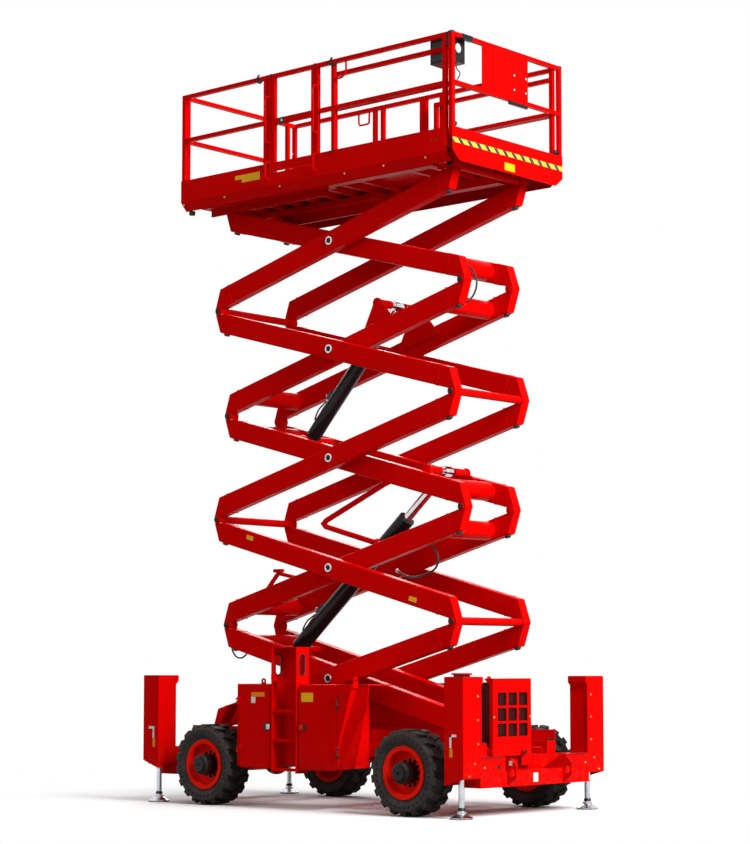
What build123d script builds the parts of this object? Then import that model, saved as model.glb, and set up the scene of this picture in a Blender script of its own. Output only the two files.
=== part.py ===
from build123d import *
import math
import os

# Rough-terrain scissor lift with its stack raised, standing on four wheels and four outrigger pads.
# Millimetres. +X is the front, +Y the left side, +Z up; the origin is on the ground under the middle.

# ---- scissor stack ----
LEVELS = 5
PIN_X = 1700                 # front pins, and the rear pins as parked, lie this far from the middle
BASE_PIN_Z = 778
LEVEL_H = 1180               # height of one level as parked
ARM_DEPTH = 220
ARM_W = 120
OUTER_Y = 504                # inner face of an outer arm
INNER_Y = 344.5              # inner face of an inner arm
PIN_EDGE = 15                # a pin lies this far outside its arm's near edge
EYE_R = 52                   # round end of an arm about its pin
EYE_GAP = 6                  # running room round the eye
TONGUE_W = 70
TONGUE_GAP = 1.5             # side play of a tongue in its fork, each side
PIN_R = 30
RUN = 0.08                   # radial play of a pin in its hole
ARM_TAPER = 110              # length over which an arm's end slopes to its pin
ARM_EDGE_R = 16              # rounded long edges of the tubes
MID_PIN_R = 45
CROSS_R = 100                # round cross tubes of the inner frames
CROSS_U = 350                # their distance from the end pins, along the arm
TIE_R = 42                   # cross tubes on the outer pins
TIE_PLAY = 1.5
PIN_HEAD = 10

# ---- lift cylinders, in the middle plane ----
# Each pin is given on its inner frame: (distance from the low pin along the arm, height above the pins' line).
# name, base arm, base pin, rod arm, rod pin, barrel radius, rod radius, rod length shown as parked, closing travel
CYLINDERS = (
    ("lower", 1, (2894, -50), 3, (685, 206), 92, 52, 729, 630),
    ("upper", 3, (2698, -3), 4, (2364, 325), 82, 46, 510, 400),
)
CYL_PIN_R = 30
CYL_EYE_R = 55
BORE_END = 12                # solid end of a barrel, beyond its eye
CYL_EYE_W = 110
EAR_T = 22                   # triangular ears that carry a rod's pin
EAR_OUT = 8                  # from an ear's outer face to the tube beside it
EAR_FEET = (-400, 210)       # ends of an ear's foot, either side of the pin
STUB_Y = 108                 # inner end of the stub shafts that flank a rod's eye
STUB_R = 44
EYE_PLAY = 6                 # between a rod's pin and the stub shafts

# ---- platform ----
DECK_REAR_X = -2000
DECK_FRONT_X = 1885
DECK_HALF_W = 934
DECK_TOP = 184               # deck surface above the top pins
DECK_T = 6
RIB_H = 58
RIB_W = 50
TOE_TOP = 299                # top of the toe boards above the top pins
TOE_LOW = 52                 # lower edge of the fascia above the top pins
CHAMFER_IN = 86              # the fascia turns in this far below
CHAMFER_LOW = -40
REAR_TURN = 36               # at the rear it turns in less, clear of the lowered arms
SHEET = 6
RAIL_TOP = 1286              # top of the guard rails above the top pins
RAIL_MID = 762
TUBE = 45                    # square rail and post
EXT_FRONT_X = 1980
EXT_REAR_X = 262
EXT_POST_TOP = 1160          # top of the roll-out deck's rear posts above the top pins
EXT_IN = 62                  # the roll-out deck's rails stand this far inside the platform's sides
EXT_GAP = 0.5
FASCIA_IN = 120              # the front fascia's lower corners are cut back this far
SIGN_Y = (-449, 329)
FLOOR_T = 12
GATE = (-584, 52)            # rear and front ends of the gate
GATE_GAP = 8
SIDE_POST_X = -706           # post of each rear side run
FRONT_POST_X = 300           # post of each front side run
REAR_POST_Y = 760            # inner face of the rear rails' left post
RIBS = (-1900, -1620, -1340, -1060, -780, -500, -220, 60, 800, 1080, 1360, 1640, 1860)
TRACK_FRONT_X = -150         # front end of the tracks that the rear arm ends slide on
BOX_X = (1600, 1890)         # holder for the platform controls
BOX_IN = 205
BOX_Z = (1010, 1270)
BOX_HOLE_R = 62
HOLDER_T = 6
SEAT_GAP = 0.3               # between separate pieces that butt together
GATE_PIN_IN = 13             # the gate's hinge pins stand this far inside its posts
GATE_PIN_R = 6
GATE_HINGES = (420, 1050)

# ---- running gear ----
WHEEL_R = 435
TYRE_W = 330
TREAD_R = 404                # bottom of the grooves between the lugs
SHOULDER_R = 384
LUGS = 18                    # on each half of a tyre
LUG_Y = (16, 138)            # inner and outer ends of a lug's top, from the tyre's middle
LUG_LEAN = 7                 # degrees that a lug's outer end trails
BEAD_GAP = 0.3
RIM_R = 268
TRACK_Y = 1000               # middle plane of a tyre
FRONT_AXLE_X = 1488
REAR_AXLE_X = -1366
HUB_R = 110
HUB_REACH = 222              # from a tyre's middle plane to the outer end of its hub
KINGPIN_IN = 200             # from a tyre's middle plane to the kingpin
DISC_OUT = 20                # from a tyre's middle plane to its rim's disc
SPINDLE_R = 45
AXLE_R = 78

# ---- chassis ----
BEAM_Y = (500, 646)
BEAM_LOW = 560
END_TOP = 596                # top of the chassis end plates and end cross members
CHASSIS_X = 2050             # end plates of the chassis
SIDE_Y = 1150                # outer skin of the cabinets
CAB_IN_Y = 662
CAB_LOW = 440
CAB_TOP = 1310
CAB_WALL = 12
CAB_REAR = -830
CAB_FRONT = 612
LADDER_X = (-330, 34)
LADDER_TOP = 1700
LADDER_T = 12
HANDHOLE = (1405, 1625)      # slots at the top of the ladder's sides
HANDHOLE_W = 84
RUNGS = 4
RUNG_STEP = 306
RUNG_T = 30
RUNG_DEPTH = 60
SIDE_PLATE_X = 945
PLATE_LEAN = 0.117           # the side plate leans inboard by this much of its height
STRAP = ((594, 702), (797, CAB_TOP))    # outer edge of the lifting strap
STRAP_W = (30, 100)
LUG_X = 843                  # lifting lug at the top of the strap
LUG_R = 36
LUG_RISE = 42
LUG_HOLE_R = 15
CORNER = ((940, 1068), (650, CAB_LOW - 35))    # edge of the facet cut for the front wheel
CORNER_IN = 220
RING_X = -600                # lifting ring on the rear cabinets
RING_R = 30
FENDER = ((-842, 1140), (-1120, 1118), (-1300, 1074), (-1440, 880))
FENDER_Y = (670, 830)
ENGINE_X = (-700, 100)
ENGINE_TOP = 1150
DOOR_T = 30
DOOR_ROUND = 45              # corner radius of a door's face
DOOR_EDGE_R = 18
DOOR_GAP = 4
DOOR_RIM = 25                # the cabinet's edge above and below a door's opening
DOOR_LAP = 30                # a door reaches this far past its opening in front and behind
STEP_DEPTH = 170             # depth of the recess behind the ladder
HINGE_OUT = 9
BUMPER_X = 2290
BUMPER_Z = (300, 456)
BUMPER_T = 12
BUMPER_LIP = 10              # lower lip of the bumper
BUMPER_END_Y = 507           # the bumper is taller from here outward
BUMPER_END_TOP = 600
SHELF = 90                   # depth of the bumper's turned-in upper edges
HOUSE_Y = (908, 1175)        # outrigger housings, inner and outer faces
HOUSE_TOP = 1395
HOUSE_T = 8
CAP_OUT = 48                 # the housing's cap overhangs inboard
CAP_DROP = (62, 108)         # drop of the cap's lower edge and of the foot of its slope
FLANGE_OUT = 22              # front flange beyond the housing's inner face
LEG_TUBE_R = 60
LEG_TUBE_FOOT = 110          # height of the brace at the leg tube's foot
LEG_X = 2165
LEG_Y = 1048
LEG_R = 30
PAD_R = 115
TOW_X = 2400
TOW_Y = 463
TOW_T = 24
TOW_HOLE = (57, 142, 40)     # distance of the hole behind the tip, height above the bumper's foot, radius
LOOPS = (((-650, -462), 683), ((209, 422), 670))     # lashing loops on the front end plate: y, top
LOOP_BAR = 14

# ---- radiator ----
COVER_X = 2100
COVER_Y = (-466, 168)
COVER_TOP = 1375
COVER_LOW = 592
COVER_DROP = (0, 489)        # the cover reaches lower from this y on, down to this height
COVER_T = 6
COVER_SIDE = (44, 105)       # depth of its sides, low down and at the flared top
FLARE = (65, 10)             # height over which the sides flare, and of their straight upper edge
WINDOW = (142, 130)          # width and height of a window
WINDOW_PITCH = (175, 156)
WINDOW_START = (-387, 790)
CORE_X = 1900                # rear of the radiator core
CORE_DROP = 40               # its top lies this far under the cover's
EXHAUST = (13, 628, 25)      # y, height and radius of the tail pipe
EXHAUST_X = 2150

# ---- values that follow ----
ARM_L = math.hypot(2 * PIN_X, LEVEL_H)
TILT = math.degrees(math.atan2(LEVEL_H, 2 * PIN_X))
ARM_OFF = ARM_DEPTH / 2 + PIN_EDGE
TOP_PIN_Z = BASE_PIN_Z + LEVELS * LEVEL_H
BEAM_TOP = BASE_PIN_Z - EYE_R - 0.5
DOOR_BACK = SIDE_Y - DOOR_T - DOOR_GAP      # outer face of the cabinets behind the doors
STEP_Y = SIDE_Y - STEP_DEPTH
EXT_HALF_W = DECK_HALF_W - EXT_IN
HUB_OUT = TRACK_Y + HUB_REACH
KINGPIN_Y = TRACK_Y - KINGPIN_IN
DISC_Y = TRACK_Y + DISC_OUT


def block(x, y, z):
    """Box from (low, high) pairs."""
    size = [b - a for a, b in (x, y, z)]
    return Pos(*[(a + b) / 2 for a, b in (x, y, z)]) * Box(*size)


def rod_y(x, z, r, y):
    """Round bar along Y."""
    return Pos(x, (y[0] + y[1]) / 2, z) * Rot(90, 0, 0) * Cylinder(r, y[1] - y[0])


def rod_z(x, y, r, z):
    """Round bar along Z."""
    return Pos(x, y, (z[0] + z[1]) / 2) * Cylinder(r, z[1] - z[0])


def rod_x(y, z, r, x):
    """Round bar along X."""
    return Pos((x[0] + x[1]) / 2, y, z) * Rot(0, 90, 0) * Cylinder(r, x[1] - x[0])


def plate(points, y):
    """Flat plate with an (x, z) outline between two values of y."""
    face = make_face(Polyline(*[(px, y[0], pz) for px, pz in points], close=True))
    return extrude(face, amount=y[1] - y[0], dir=(0, 1, 0))


def plate_x(points, x):
    """Flat plate with a (y, z) outline between two values of x."""
    face = make_face(Polyline(*[(x[0], py, pz) for py, pz in points], close=True))
    return extrude(face, amount=x[1] - x[0], dir=(1, 0, 0))


def tangent(point, r, side):
    """Where the line from a point touches the circle of radius r about the origin."""
    d = math.hypot(*point)
    a = math.atan2(point[1], point[0]) + side * math.acos(r / d)
    return r * math.cos(a), r * math.sin(a)


def both(solid):
    """A solid and its mirror image across the middle plane."""
    return solid + mirror(solid, Plane.XZ)


def save(name, shape):
    export_step(Compound(label=name, children=list(shape.solids())), f"parts/{name}.step")


# ------------------------------------------------------------------ scissor arms
# An arm is drawn along +X from its low pin at the origin to its high pin at (ARM_L, 0).

def arm_axis(u):
    """Height of the tube's middle line above the line through both pins."""
    return ARM_OFF - 2 * ARM_OFF * u / ARM_L


def arm_outline():
    """Outline that cuts a tube's two ends; its long sides run clear of the tube."""
    corner = (ARM_TAPER, arm_axis(ARM_TAPER) + ARM_DEPTH / 2)
    touch = tangent(corner, EYE_R, 1)
    beyond = (corner[0] + 0.3 * (corner[0] - touch[0]), corner[1] + 0.3 * (corner[1] - touch[1]))
    low = [(0, -EYE_R), (0, 0), touch, beyond]
    return low + [(ARM_L - u, -w) for u, w in low]


def arm_bar(y):
    """Tube with rounded long edges, its middle line sloping across the line through both pins."""
    slope = math.atan2(2 * ARM_OFF, ARM_L)
    bar = Box(ARM_L + 2 * ARM_DEPTH, y[1] - y[0], ARM_DEPTH * math.cos(slope))
    bar = fillet(bar.edges().filter_by(Axis.X), ARM_EDGE_R)
    return Pos(ARM_L / 2, (y[0] + y[1]) / 2, 0) * Rot(0, math.degrees(slope), 0) * bar


def arm_side(y0, low_end, high_end):
    """One tube of a frame, between y0 and y0 + ARM_W, with a fork, tongue or plain eye at each end."""
    y = (y0, y0 + ARM_W)
    mid = y0 + ARM_W / 2
    tongue = (mid - TONGUE_W / 2, mid + TONGUE_W / 2)
    slot = (tongue[0] - TONGUE_GAP, tongue[1] + TONGUE_GAP)
    body = arm_bar(y) & plate(arm_outline(), (y[0] - 1, y[1] + 1))
    for u, kind in ((0, low_end), (ARM_L, high_end)):
        eye = rod_y(u, 0, EYE_R, y)
        room = EYE_R + EYE_GAP
        if kind == "fork":
            body = body + eye - rod_y(u, 0, room, slot) - rod_y(u, 0, PIN_R + RUN, y)
        elif kind == "tongue":
            stem = body & block((u - room - 2, u + room), tongue, (-room - 2, room))
            body = body - rod_y(u, 0, room, y)
            body = body + stem + rod_y(u, 0, EYE_R, tongue)
            body += rod_y(u, 0, PIN_R, (y[0] - PIN_HEAD, y[1] + PIN_HEAD))
        else:
            body = body + eye
    return body


def inner_frame(k):
    """Inner frame of level k, lying along +X from its low pin."""
    low_end = "fork"
    high_end = "tongue" if k < LEVELS else "slider"
    frame = both(arm_side(INNER_Y, low_end, high_end))
    for u in (CROSS_U, ARM_L - CROSS_U):
        frame += rod_y(u, arm_axis(u), CROSS_R, (-INNER_Y - 1, INNER_Y + 1))
    middle = ARM_L / 2
    out = OUTER_Y + ARM_W + PIN_HEAD
    for side in (-1, 1):
        ends = sorted((side * (INNER_Y + ARM_W / 2), side * out))
        frame += rod_y(middle, 0, MID_PIN_R, ends)
    return frame


def outer_frame(k):
    """Outer frame of level k, lying along +X from its low pin."""
    low_end = "fork" if k > 1 else "slider"
    frame = both(arm_side(OUTER_Y, low_end, "tongue"))
    frame += rod_y(ARM_L, 0, TIE_R, (-OUTER_Y + TIE_PLAY, OUTER_Y - TIE_PLAY))
    frame += rod_y(ARM_L, 0, PIN_R, (-OUTER_Y - ARM_W / 2, OUTER_Y + ARM_W / 2))
    if k == 1:
        frame += rod_y(0, 0, TIE_R, (-OUTER_Y - 1, OUTER_Y + 1))
    frame -= rod_y(ARM_L / 2, 0, MID_PIN_R + RUN, (-OUTER_Y - ARM_W - 1, OUTER_Y + ARM_W + 1))
    return frame


def to_world(k, inner):
    """Place of the frame of level k: odd inner and even outer frames rise towards the rear."""
    z = BASE_PIN_Z + (k - 1) * LEVEL_H
    if (k % 2 == 1) == inner:
        return Pos(PIN_X, 0, z) * Rot(0, TILT, 0) * Rot(0, 0, 180)
    return Pos(-PIN_X, 0, z) * Rot(0, -TILT, 0)


def parked(k, u, w):
    """World (x, z) of a point given in inner frame k's own (u, w)."""
    c, s = math.cos(math.radians(TILT)), math.sin(math.radians(TILT))
    along = u * c - w * s
    x = PIN_X - along if k % 2 == 1 else along - PIN_X
    return x, BASE_PIN_Z + (k - 1) * LEVEL_H + u * s + w * c


def cylinder_base(u, w):
    """Shaft across an inner frame that a cylinder's barrel turns on, with its side collars."""
    shaft = rod_y(u, w, CYL_PIN_R, (-INNER_Y - 1, INNER_Y + 1))
    collar = rod_y(u, w, CYL_PIN_R + 14, (CYL_EYE_W / 2 + 1, INNER_Y + 1))
    return shaft + both(collar)


def rod_bracket(u, w):
    """Two triangular ears on the inner faces of a frame's tubes, with stub shafts beside a rod's eye."""
    y = (INNER_Y - EAR_OUT - EAR_T, INNER_Y - EAR_OUT)
    rear, front = u + EAR_FEET[0], u + EAR_FEET[1]
    ear = plate([(rear, arm_axis(rear)), (front, arm_axis(front)), (u + CYL_EYE_R, w), (u - CYL_EYE_R, w)], y)
    ear += rod_y(u, w, CYL_EYE_R, y)
    pad = plate([(rear, arm_axis(rear)), (front, arm_axis(front)), (front - 60, arm_axis(front) + 70),
                 (rear + 60, arm_axis(rear) + 70)], (y[0], INNER_Y + 1))
    stub = rod_y(u, w, STUB_R, (STUB_Y, y[1]))
    return both(ear + pad + stub)


def make_arms():
    for k in range(1, LEVELS + 1):
        inner = inner_frame(k)
        for row in CYLINDERS:
            if row[1] == k:
                inner += cylinder_base(*row[2])
            if row[3] == k:
                inner += rod_bracket(*row[4])
        save(f"inner_arms_{k}", to_world(k, True) * inner)
        save(f"outer_arms_{k}", to_world(k, False) * outer_frame(k))


# ------------------------------------------------------------------ lift cylinders

def make_cylinders():
    for name, base_arm, base_pin, rod_arm, rod_pin, r, rod_r, rod_shown, closing in CYLINDERS:
        base = parked(base_arm, *base_pin)
        top = parked(rod_arm, *rod_pin)
        length = math.hypot(top[0] - base[0], top[1] - base[1])
        barrel_l = length - rod_shown
        angle = math.degrees(math.atan2(top[1] - base[1], top[0] - base[0]))
        place = Pos(base[0], 0, base[1]) * Rot(0, -angle, 0)
        barrel = rod_x(0, 0, r, (CYL_EYE_R + 4, barrel_l))
        barrel += rod_y(0, 0, CYL_EYE_R, (-CYL_EYE_W / 2, CYL_EYE_W / 2))
        barrel += block((0, CYL_EYE_R + 10), (-CYL_EYE_W / 2, CYL_EYE_W / 2), (8 - CYL_EYE_R, CYL_EYE_R - 8))
        barrel -= rod_y(0, 0, CYL_PIN_R + RUN, (-r - 1, r + 1))
        barrel -= rod_x(0, 0, rod_r + RUN, (CYL_EYE_R + BORE_END, barrel_l + 1))
        rod = rod_x(0, 0, rod_r, (CYL_EYE_R + BORE_END + closing, length - CYL_EYE_R + 8))
        rod += rod_y(length, 0, CYL_EYE_R, (-CYL_EYE_W / 2, CYL_EYE_W / 2))
        rod += rod_y(length, 0, CYL_PIN_R, (EYE_PLAY - STUB_Y, STUB_Y - EYE_PLAY))
        save(f"{name}_barrel", place * barrel)
        save(f"{name}_rod", place * rod)


# ------------------------------------------------------------------ platform

def pz(low, high):
    """Heights given above the top pins."""
    return TOP_PIN_Z + low, TOP_PIN_Z + high


def fascia_outline(turn_in=CHAMFER_IN, low=CHAMFER_LOW):
    """Section of a side board: toe board, fascia and its turned-in lower edge."""
    t = SHEET
    outer = [(0, TOE_TOP), (0, TOE_LOW), (-turn_in, low), (-turn_in, low + t * 1.4)]
    inner = [(-t, TOE_LOW + t * 0.6), (-t, TOE_TOP)]
    return outer + inner


def side_board(x):
    pts = [(x[0], DECK_HALF_W + a, TOP_PIN_Z + b) for a, b in fascia_outline()]
    return extrude(make_face(Polyline(*pts, close=True)), amount=x[1] - x[0], dir=(1, 0, 0))


def end_board(x_out, sign, half_w, *turn):
    pts = [(x_out + sign * a, -half_w, TOP_PIN_Z + b) for a, b in fascia_outline(*turn)]
    return extrude(make_face(Polyline(*pts, close=True)), amount=2 * half_w, dir=(0, 1, 0))


def make_deck():
    side = DECK_HALF_W - SHEET
    deck = block((DECK_REAR_X + SHEET, DECK_FRONT_X), (-side, side), pz(DECK_TOP - DECK_T, DECK_TOP))
    for x in RIBS:
        deck += block((x - RIB_W / 2, x + RIB_W / 2), (-side, side),
                      pz(DECK_TOP - DECK_T - RIB_H, DECK_TOP - DECK_T))
    rib_low = DECK_TOP - DECK_T - RIB_H
    gap_y = (INNER_Y + ARM_W + 10, OUTER_Y - 10)
    slide_top = EYE_R + 0.5
    start = DECK_REAR_X + REAR_TURN + 8
    track = block((start, TRACK_FRONT_X), (INNER_Y - 10, gap_y[1]), pz(slide_top, rib_low))
    track += block((start, TRACK_FRONT_X), gap_y, pz(-EYE_R, slide_top))
    beam = block((start, DECK_FRONT_X - 20), (OUTER_Y, OUTER_Y + ARM_W), pz(20, rib_low))
    beam -= block((PIN_X - 260, PIN_X + 260), (OUTER_Y - 1, OUTER_Y + ARM_W + 1), pz(0, EYE_R + EYE_GAP))
    deck += both(track + beam)
    mid = OUTER_Y + ARM_W / 2
    inner_cheek = (OUTER_Y, mid - TONGUE_W / 2 - TONGUE_GAP)
    outer_cheek = (mid + TONGUE_W / 2 + TONGUE_GAP, OUTER_Y + ARM_W)
    for cheek in (inner_cheek, outer_cheek):
        lug = rod_y(PIN_X, TOP_PIN_Z, EYE_R, cheek)
        lug += block((PIN_X - EYE_R, PIN_X + EYE_R), cheek, pz(0, rib_low))
        lug -= rod_y(PIN_X, TOP_PIN_Z, PIN_R + RUN, cheek)
        deck += both(lug)
    save("platform_deck", deck)

    boards = side_board((DECK_REAR_X, DECK_FRONT_X))
    gate_cut = block((GATE[0] - GATE_GAP, GATE[1] + GATE_GAP),
                     (-DECK_HALF_W - 1, -DECK_HALF_W + SHEET + 1), pz(DECK_TOP, TOE_TOP + 1))
    boards = both(boards) - gate_cut
    boards += end_board(DECK_REAR_X, -1, DECK_HALF_W, REAR_TURN, TOE_LOW - REAR_TURN)
    save("toe_boards", boards)


def make_rails():
    y_rail = (DECK_HALF_W - SHEET - TUBE, DECK_HALF_W - SHEET)
    rear = DECK_REAR_X + SHEET
    before, after = GATE[0] - GATE_GAP, GATE[1] + GATE_GAP
    # side (-1 right, +1 left), rear end, front end and posts of each run of rails
    runs = (
        (-1, rear, before, (rear, SIDE_POST_X)),
        (-1, after, DECK_FRONT_X, (after, FRONT_POST_X, DECK_FRONT_X - TUBE)),
        (1, rear, before, (rear, SIDE_POST_X)),
        (1, GATE[0], GATE[1], (GATE[0], GATE[1] - TUBE)),
        (1, after, DECK_FRONT_X, (after, FRONT_POST_X, DECK_FRONT_X - TUBE)),
    )
    rails = None
    for side_sign, x0, x1, posts in runs:
        y = sorted((side_sign * y_rail[0], side_sign * y_rail[1]))
        run = block((x0, x1), y, pz(RAIL_TOP - TUBE, RAIL_TOP))
        run += block((x0, x1), y, pz(RAIL_MID - TUBE / 2, RAIL_MID + TUBE / 2))
        for x in posts:
            run += block((x, x + TUBE), y, pz(DECK_TOP, RAIL_TOP))
        rails = run if rails is None else rails + run
    rear_y = y_rail[0] - SEAT_GAP
    for z in (RAIL_TOP - TUBE, RAIL_MID - TUBE / 2):
        rails += block((rear, rear + TUBE), (-rear_y, rear_y), pz(z, z + TUBE))
    for y in (-rear_y, REAR_POST_Y):
        rails += block((rear, rear + TUBE), (y, y + TUBE), pz(DECK_TOP, RAIL_TOP))
    hinge_x, hinge_y = GATE[0] - GATE_GAP / 2, -(y_rail[0] - GATE_PIN_IN)
    post = (before - TUBE, before)
    rails += block(post, (-y_rail[1], -y_rail[0]), pz(DECK_TOP, RAIL_TOP))
    for z in GATE_HINGES:
        rails += rod_z(hinge_x, hinge_y, GATE_PIN_R, pz(z - 30, z + 28))
        rails += block((hinge_x - 22, hinge_x + 1), (-y_rail[0] - 6, hinge_y + GATE_PIN_R), pz(z - 30, z - 1))
    save("guard_rails", rails)

    y = (-y_rail[1], -y_rail[0])
    gate = block(GATE, y, pz(RAIL_TOP - TUBE, RAIL_TOP))
    gate += block(GATE, y, pz(RAIL_MID - TUBE, RAIL_MID + TUBE / 2))
    gate += block(GATE, (y[0], y[0] + SHEET), pz(DECK_TOP + 15, TOE_TOP))
    for x in (GATE[0], GATE[1] - TUBE):
        gate += block((x, x + TUBE), y, pz(DECK_TOP + 15, RAIL_TOP))
    for z in GATE_HINGES:
        gate += rod_z(hinge_x, hinge_y, GATE_PIN_R + 5, pz(z, z + 30))
        gate += block((hinge_x, GATE[0] + 20), (-y_rail[0] - 6, hinge_y + 8), pz(z, z + 30))
        gate -= rod_z(hinge_x, hinge_y, GATE_PIN_R + RUN, pz(z - 1, z + 31))
    save("gate", gate)


def fascia_front():
    """Front fascia: a flat plate with its lower corners cut off."""
    half = [(DECK_HALF_W, TOE_TOP), (DECK_HALF_W, TOE_LOW), (DECK_HALF_W - FASCIA_IN, CHAMFER_LOW)]
    points = half + [(-y, z) for y, z in reversed(half)]
    return plate_x([(y, TOP_PIN_Z + z) for y, z in points], (EXT_FRONT_X - SHEET, EXT_FRONT_X))


def make_extension():
    floor_low = DECK_TOP + EXT_GAP
    floor = block((EXT_REAR_X, EXT_FRONT_X - SHEET), (-EXT_HALF_W + TUBE, EXT_HALF_W - TUBE),
                  pz(floor_low, floor_low + FLOOR_T))
    save("extension_deck", floor + fascia_front())
    y = (EXT_HALF_W - TUBE, EXT_HALF_W)
    front = (EXT_FRONT_X - SHEET - TUBE, EXT_FRONT_X - SHEET)
    x_run = (EXT_REAR_X + TUBE, front[0] - SEAT_GAP)
    rail = block(x_run, y, pz(EXT_POST_TOP - TUBE, EXT_POST_TOP))
    rail += block(x_run, y, pz(RAIL_MID - TUBE / 2, RAIL_MID + TUBE / 2))
    rail += block(x_run, (y[1] - SHEET, y[1]), pz(floor_low, TOE_TOP))
    rail += block((EXT_REAR_X, x_run[0]), y, pz(floor_low, EXT_POST_TOP))
    rail += block((x_run[1] - TUBE, x_run[1]), y, pz(floor_low, RAIL_TOP))
    rails = both(rail)
    corner = (DECK_HALF_W - TUBE, DECK_HALF_W)
    rails += both(block(front, corner, pz(TOE_TOP - 2 * TUBE, RAIL_TOP)))
    for z in (RAIL_TOP - TUBE, RAIL_MID - TUBE / 2):
        rails += block(front, (-corner[0], corner[0]), pz(z, z + TUBE))
    save("extension_rails", rails)
    sign = block((front[1], front[1] + SHEET), SIGN_Y, pz(RAIL_MID + TUBE / 2 - 3, RAIL_TOP - TUBE + 3))
    save("sign_panel", sign)
    make_control_holder(-y[0])


def make_control_holder(y_out):
    """Bent plate inside the near front corner that carries the platform controls."""
    t = HOLDER_T
    z = pz(*BOX_Z)
    y_in = y_out + BOX_IN
    middle = (z[0] + z[1]) / 2
    holder = block(BOX_X, (y_out, y_out + t), z) - rod_y(BOX_X[0] + 110, middle, BOX_HOLE_R, (y_out - 1, y_out + t + 1))
    end = block((BOX_X[1] - t, BOX_X[1]), (y_out, y_in), z)
    end -= rod_x((y_out + y_in) / 2, middle + 20, BOX_HOLE_R * 0.8, (BOX_X[1] - t - 1, BOX_X[1] + 1))
    tray = block(BOX_X, (y_out, y_in), (z[0], z[0] + t))
    lip = block(BOX_X, (y_in - t, y_in), (z[0], z[0] + 50))
    save("control_box", holder + end + tray + lip)


# ------------------------------------------------------------------ wheels and axles

def spin(points, x, z, side):
    """Ring turned about a wheel's axis from (radius, |y|) points."""
    pts = [(x + r, side * y, z) for r, y in points]
    return revolve(make_face(Polyline(*pts, close=True)), Axis((x, 0, z), (0, 1, 0)), 360)


def tyre_solid():
    """Tyre about the Y axis, sewn from flat facets: staggered lugs round the tread, and plain sidewalls."""
    steps = 2 * LUGS
    turn = 2 * math.pi / steps
    half = TYRE_W / 2
    bead_y = half - 22 - 14
    bore_r = (RIM_R - 32 + BEAD_GAP) / math.cos(turn / 2)

    def at(k, side, y, r):
        lean = math.radians(LUG_LEAN) * max(0, y - LUG_Y[0]) / half
        angle = k * turn - math.pi / 2 + lean
        return Vector(r * math.cos(angle), side * y, r * math.sin(angle))

    facets = []

    def skin(*corners):
        """Facets over a closed loop of corners, each side of the loop shared with a neighbour."""
        for i in range(1, len(corners) - 1):
            facets.append(Face(Wire.make_polygon([corners[0], corners[i], corners[i + 1]], close=True)))

    wall = ((half, SHOULDER_R), (half - 6, RIM_R + 60), (bead_y, RIM_R + 14), (bead_y, bore_r))
    for side in (-1, 1):
        for k in range(steps):
            lug = (k % 2 == 0) == (side > 0)
            top_r = WHEEL_R if lug else TREAD_R
            rim = ((LUG_Y[0], top_r), (LUG_Y[1], top_r)) + wall
            for (y0, r0), (y1, r1) in zip(rim, rim[1:]):
                skin(at(k, side, y0, r0), at(k + 1, side, y0, r0), at(k + 1, side, y1, r1), at(k, side, y1, r1))
            if lug:
                low, high = (LUG_Y[0], TREAD_R), (LUG_Y[0], WHEEL_R)
                skin(at(k, side, *low), at(k + 1, side, *low), at(k + 1, side, *high), at(k, side, *high))
            skin(*[at(k, side, *p) for p in (
                (LUG_Y[1], TREAD_R), (LUG_Y[0], TREAD_R), (LUG_Y[0], WHEEL_R), (LUG_Y[1], WHEEL_R), wall[0])])
    for k in range(steps):
        for y, r in ((LUG_Y[0], TREAD_R), (bead_y, bore_r)):
            skin(at(k, -1, y, r), at(k + 1, -1, y, r), at(k + 1, 1, y, r), at(k, 1, y, r))
    return Solid(Shell(facets))


def make_wheel(name, x, side, tyre):
    half = TYRE_W / 2
    rim_in = RIM_R - 32
    rim_half = half - 22
    save(f"tyre_{name}", Pos(x, side * TRACK_Y, WHEEL_R) * tyre)
    face = DISC_Y
    rim = [(rim_in - 12, TRACK_Y - rim_half), (RIM_R, TRACK_Y - rim_half), (RIM_R, TRACK_Y - rim_half + 13.7),
           (rim_in, TRACK_Y - rim_half + 13.7), (rim_in, TRACK_Y + rim_half - 13.7), (RIM_R, TRACK_Y + rim_half - 13.7),
           (RIM_R, TRACK_Y + rim_half), (rim_in - 12, TRACK_Y + rim_half), (rim_in - 12, face + 14),
           (HUB_R + 1, face + 14), (HUB_R + 1, face), (rim_in - 12, face)]
    save(f"rim_{name}", spin(rim, x, WHEEL_R, side))
    hub = [(SPINDLE_R + RUN, face - 110), (HUB_R + 45, face - 40), (HUB_R + 45, face), (HUB_R, face),
           (HUB_R, HUB_OUT - 40), (HUB_R - 30, HUB_OUT - 30), (HUB_R - 36, HUB_OUT), (0, HUB_OUT),
           (0, HUB_OUT - 60), (SPINDLE_R + RUN, HUB_OUT - 60)]
    save(f"hub_{name}", spin(hub, x, WHEEL_R, side))


def spindle(x, side, y0):
    ends = sorted((side * y0, side * (HUB_OUT - 64)))
    shoulder = sorted((side * y0, side * (DISC_Y - 112)))
    return rod_y(x, WHEEL_R, SPINDLE_R, ends) + rod_y(x, WHEEL_R, SPINDLE_R + 20, shoulder)


def axle_beam(x, y_end):
    beam = rod_y(x, WHEEL_R, AXLE_R, (-y_end, y_end))
    case = Pos(x, 0, WHEEL_R) * Sphere(150)
    saddles = both(block((x - 90, x + 90), (BEAM_Y[0] + 10, BEAM_Y[1] - 10), (WHEEL_R, BEAM_LOW)))
    return beam + case + saddles


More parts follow.
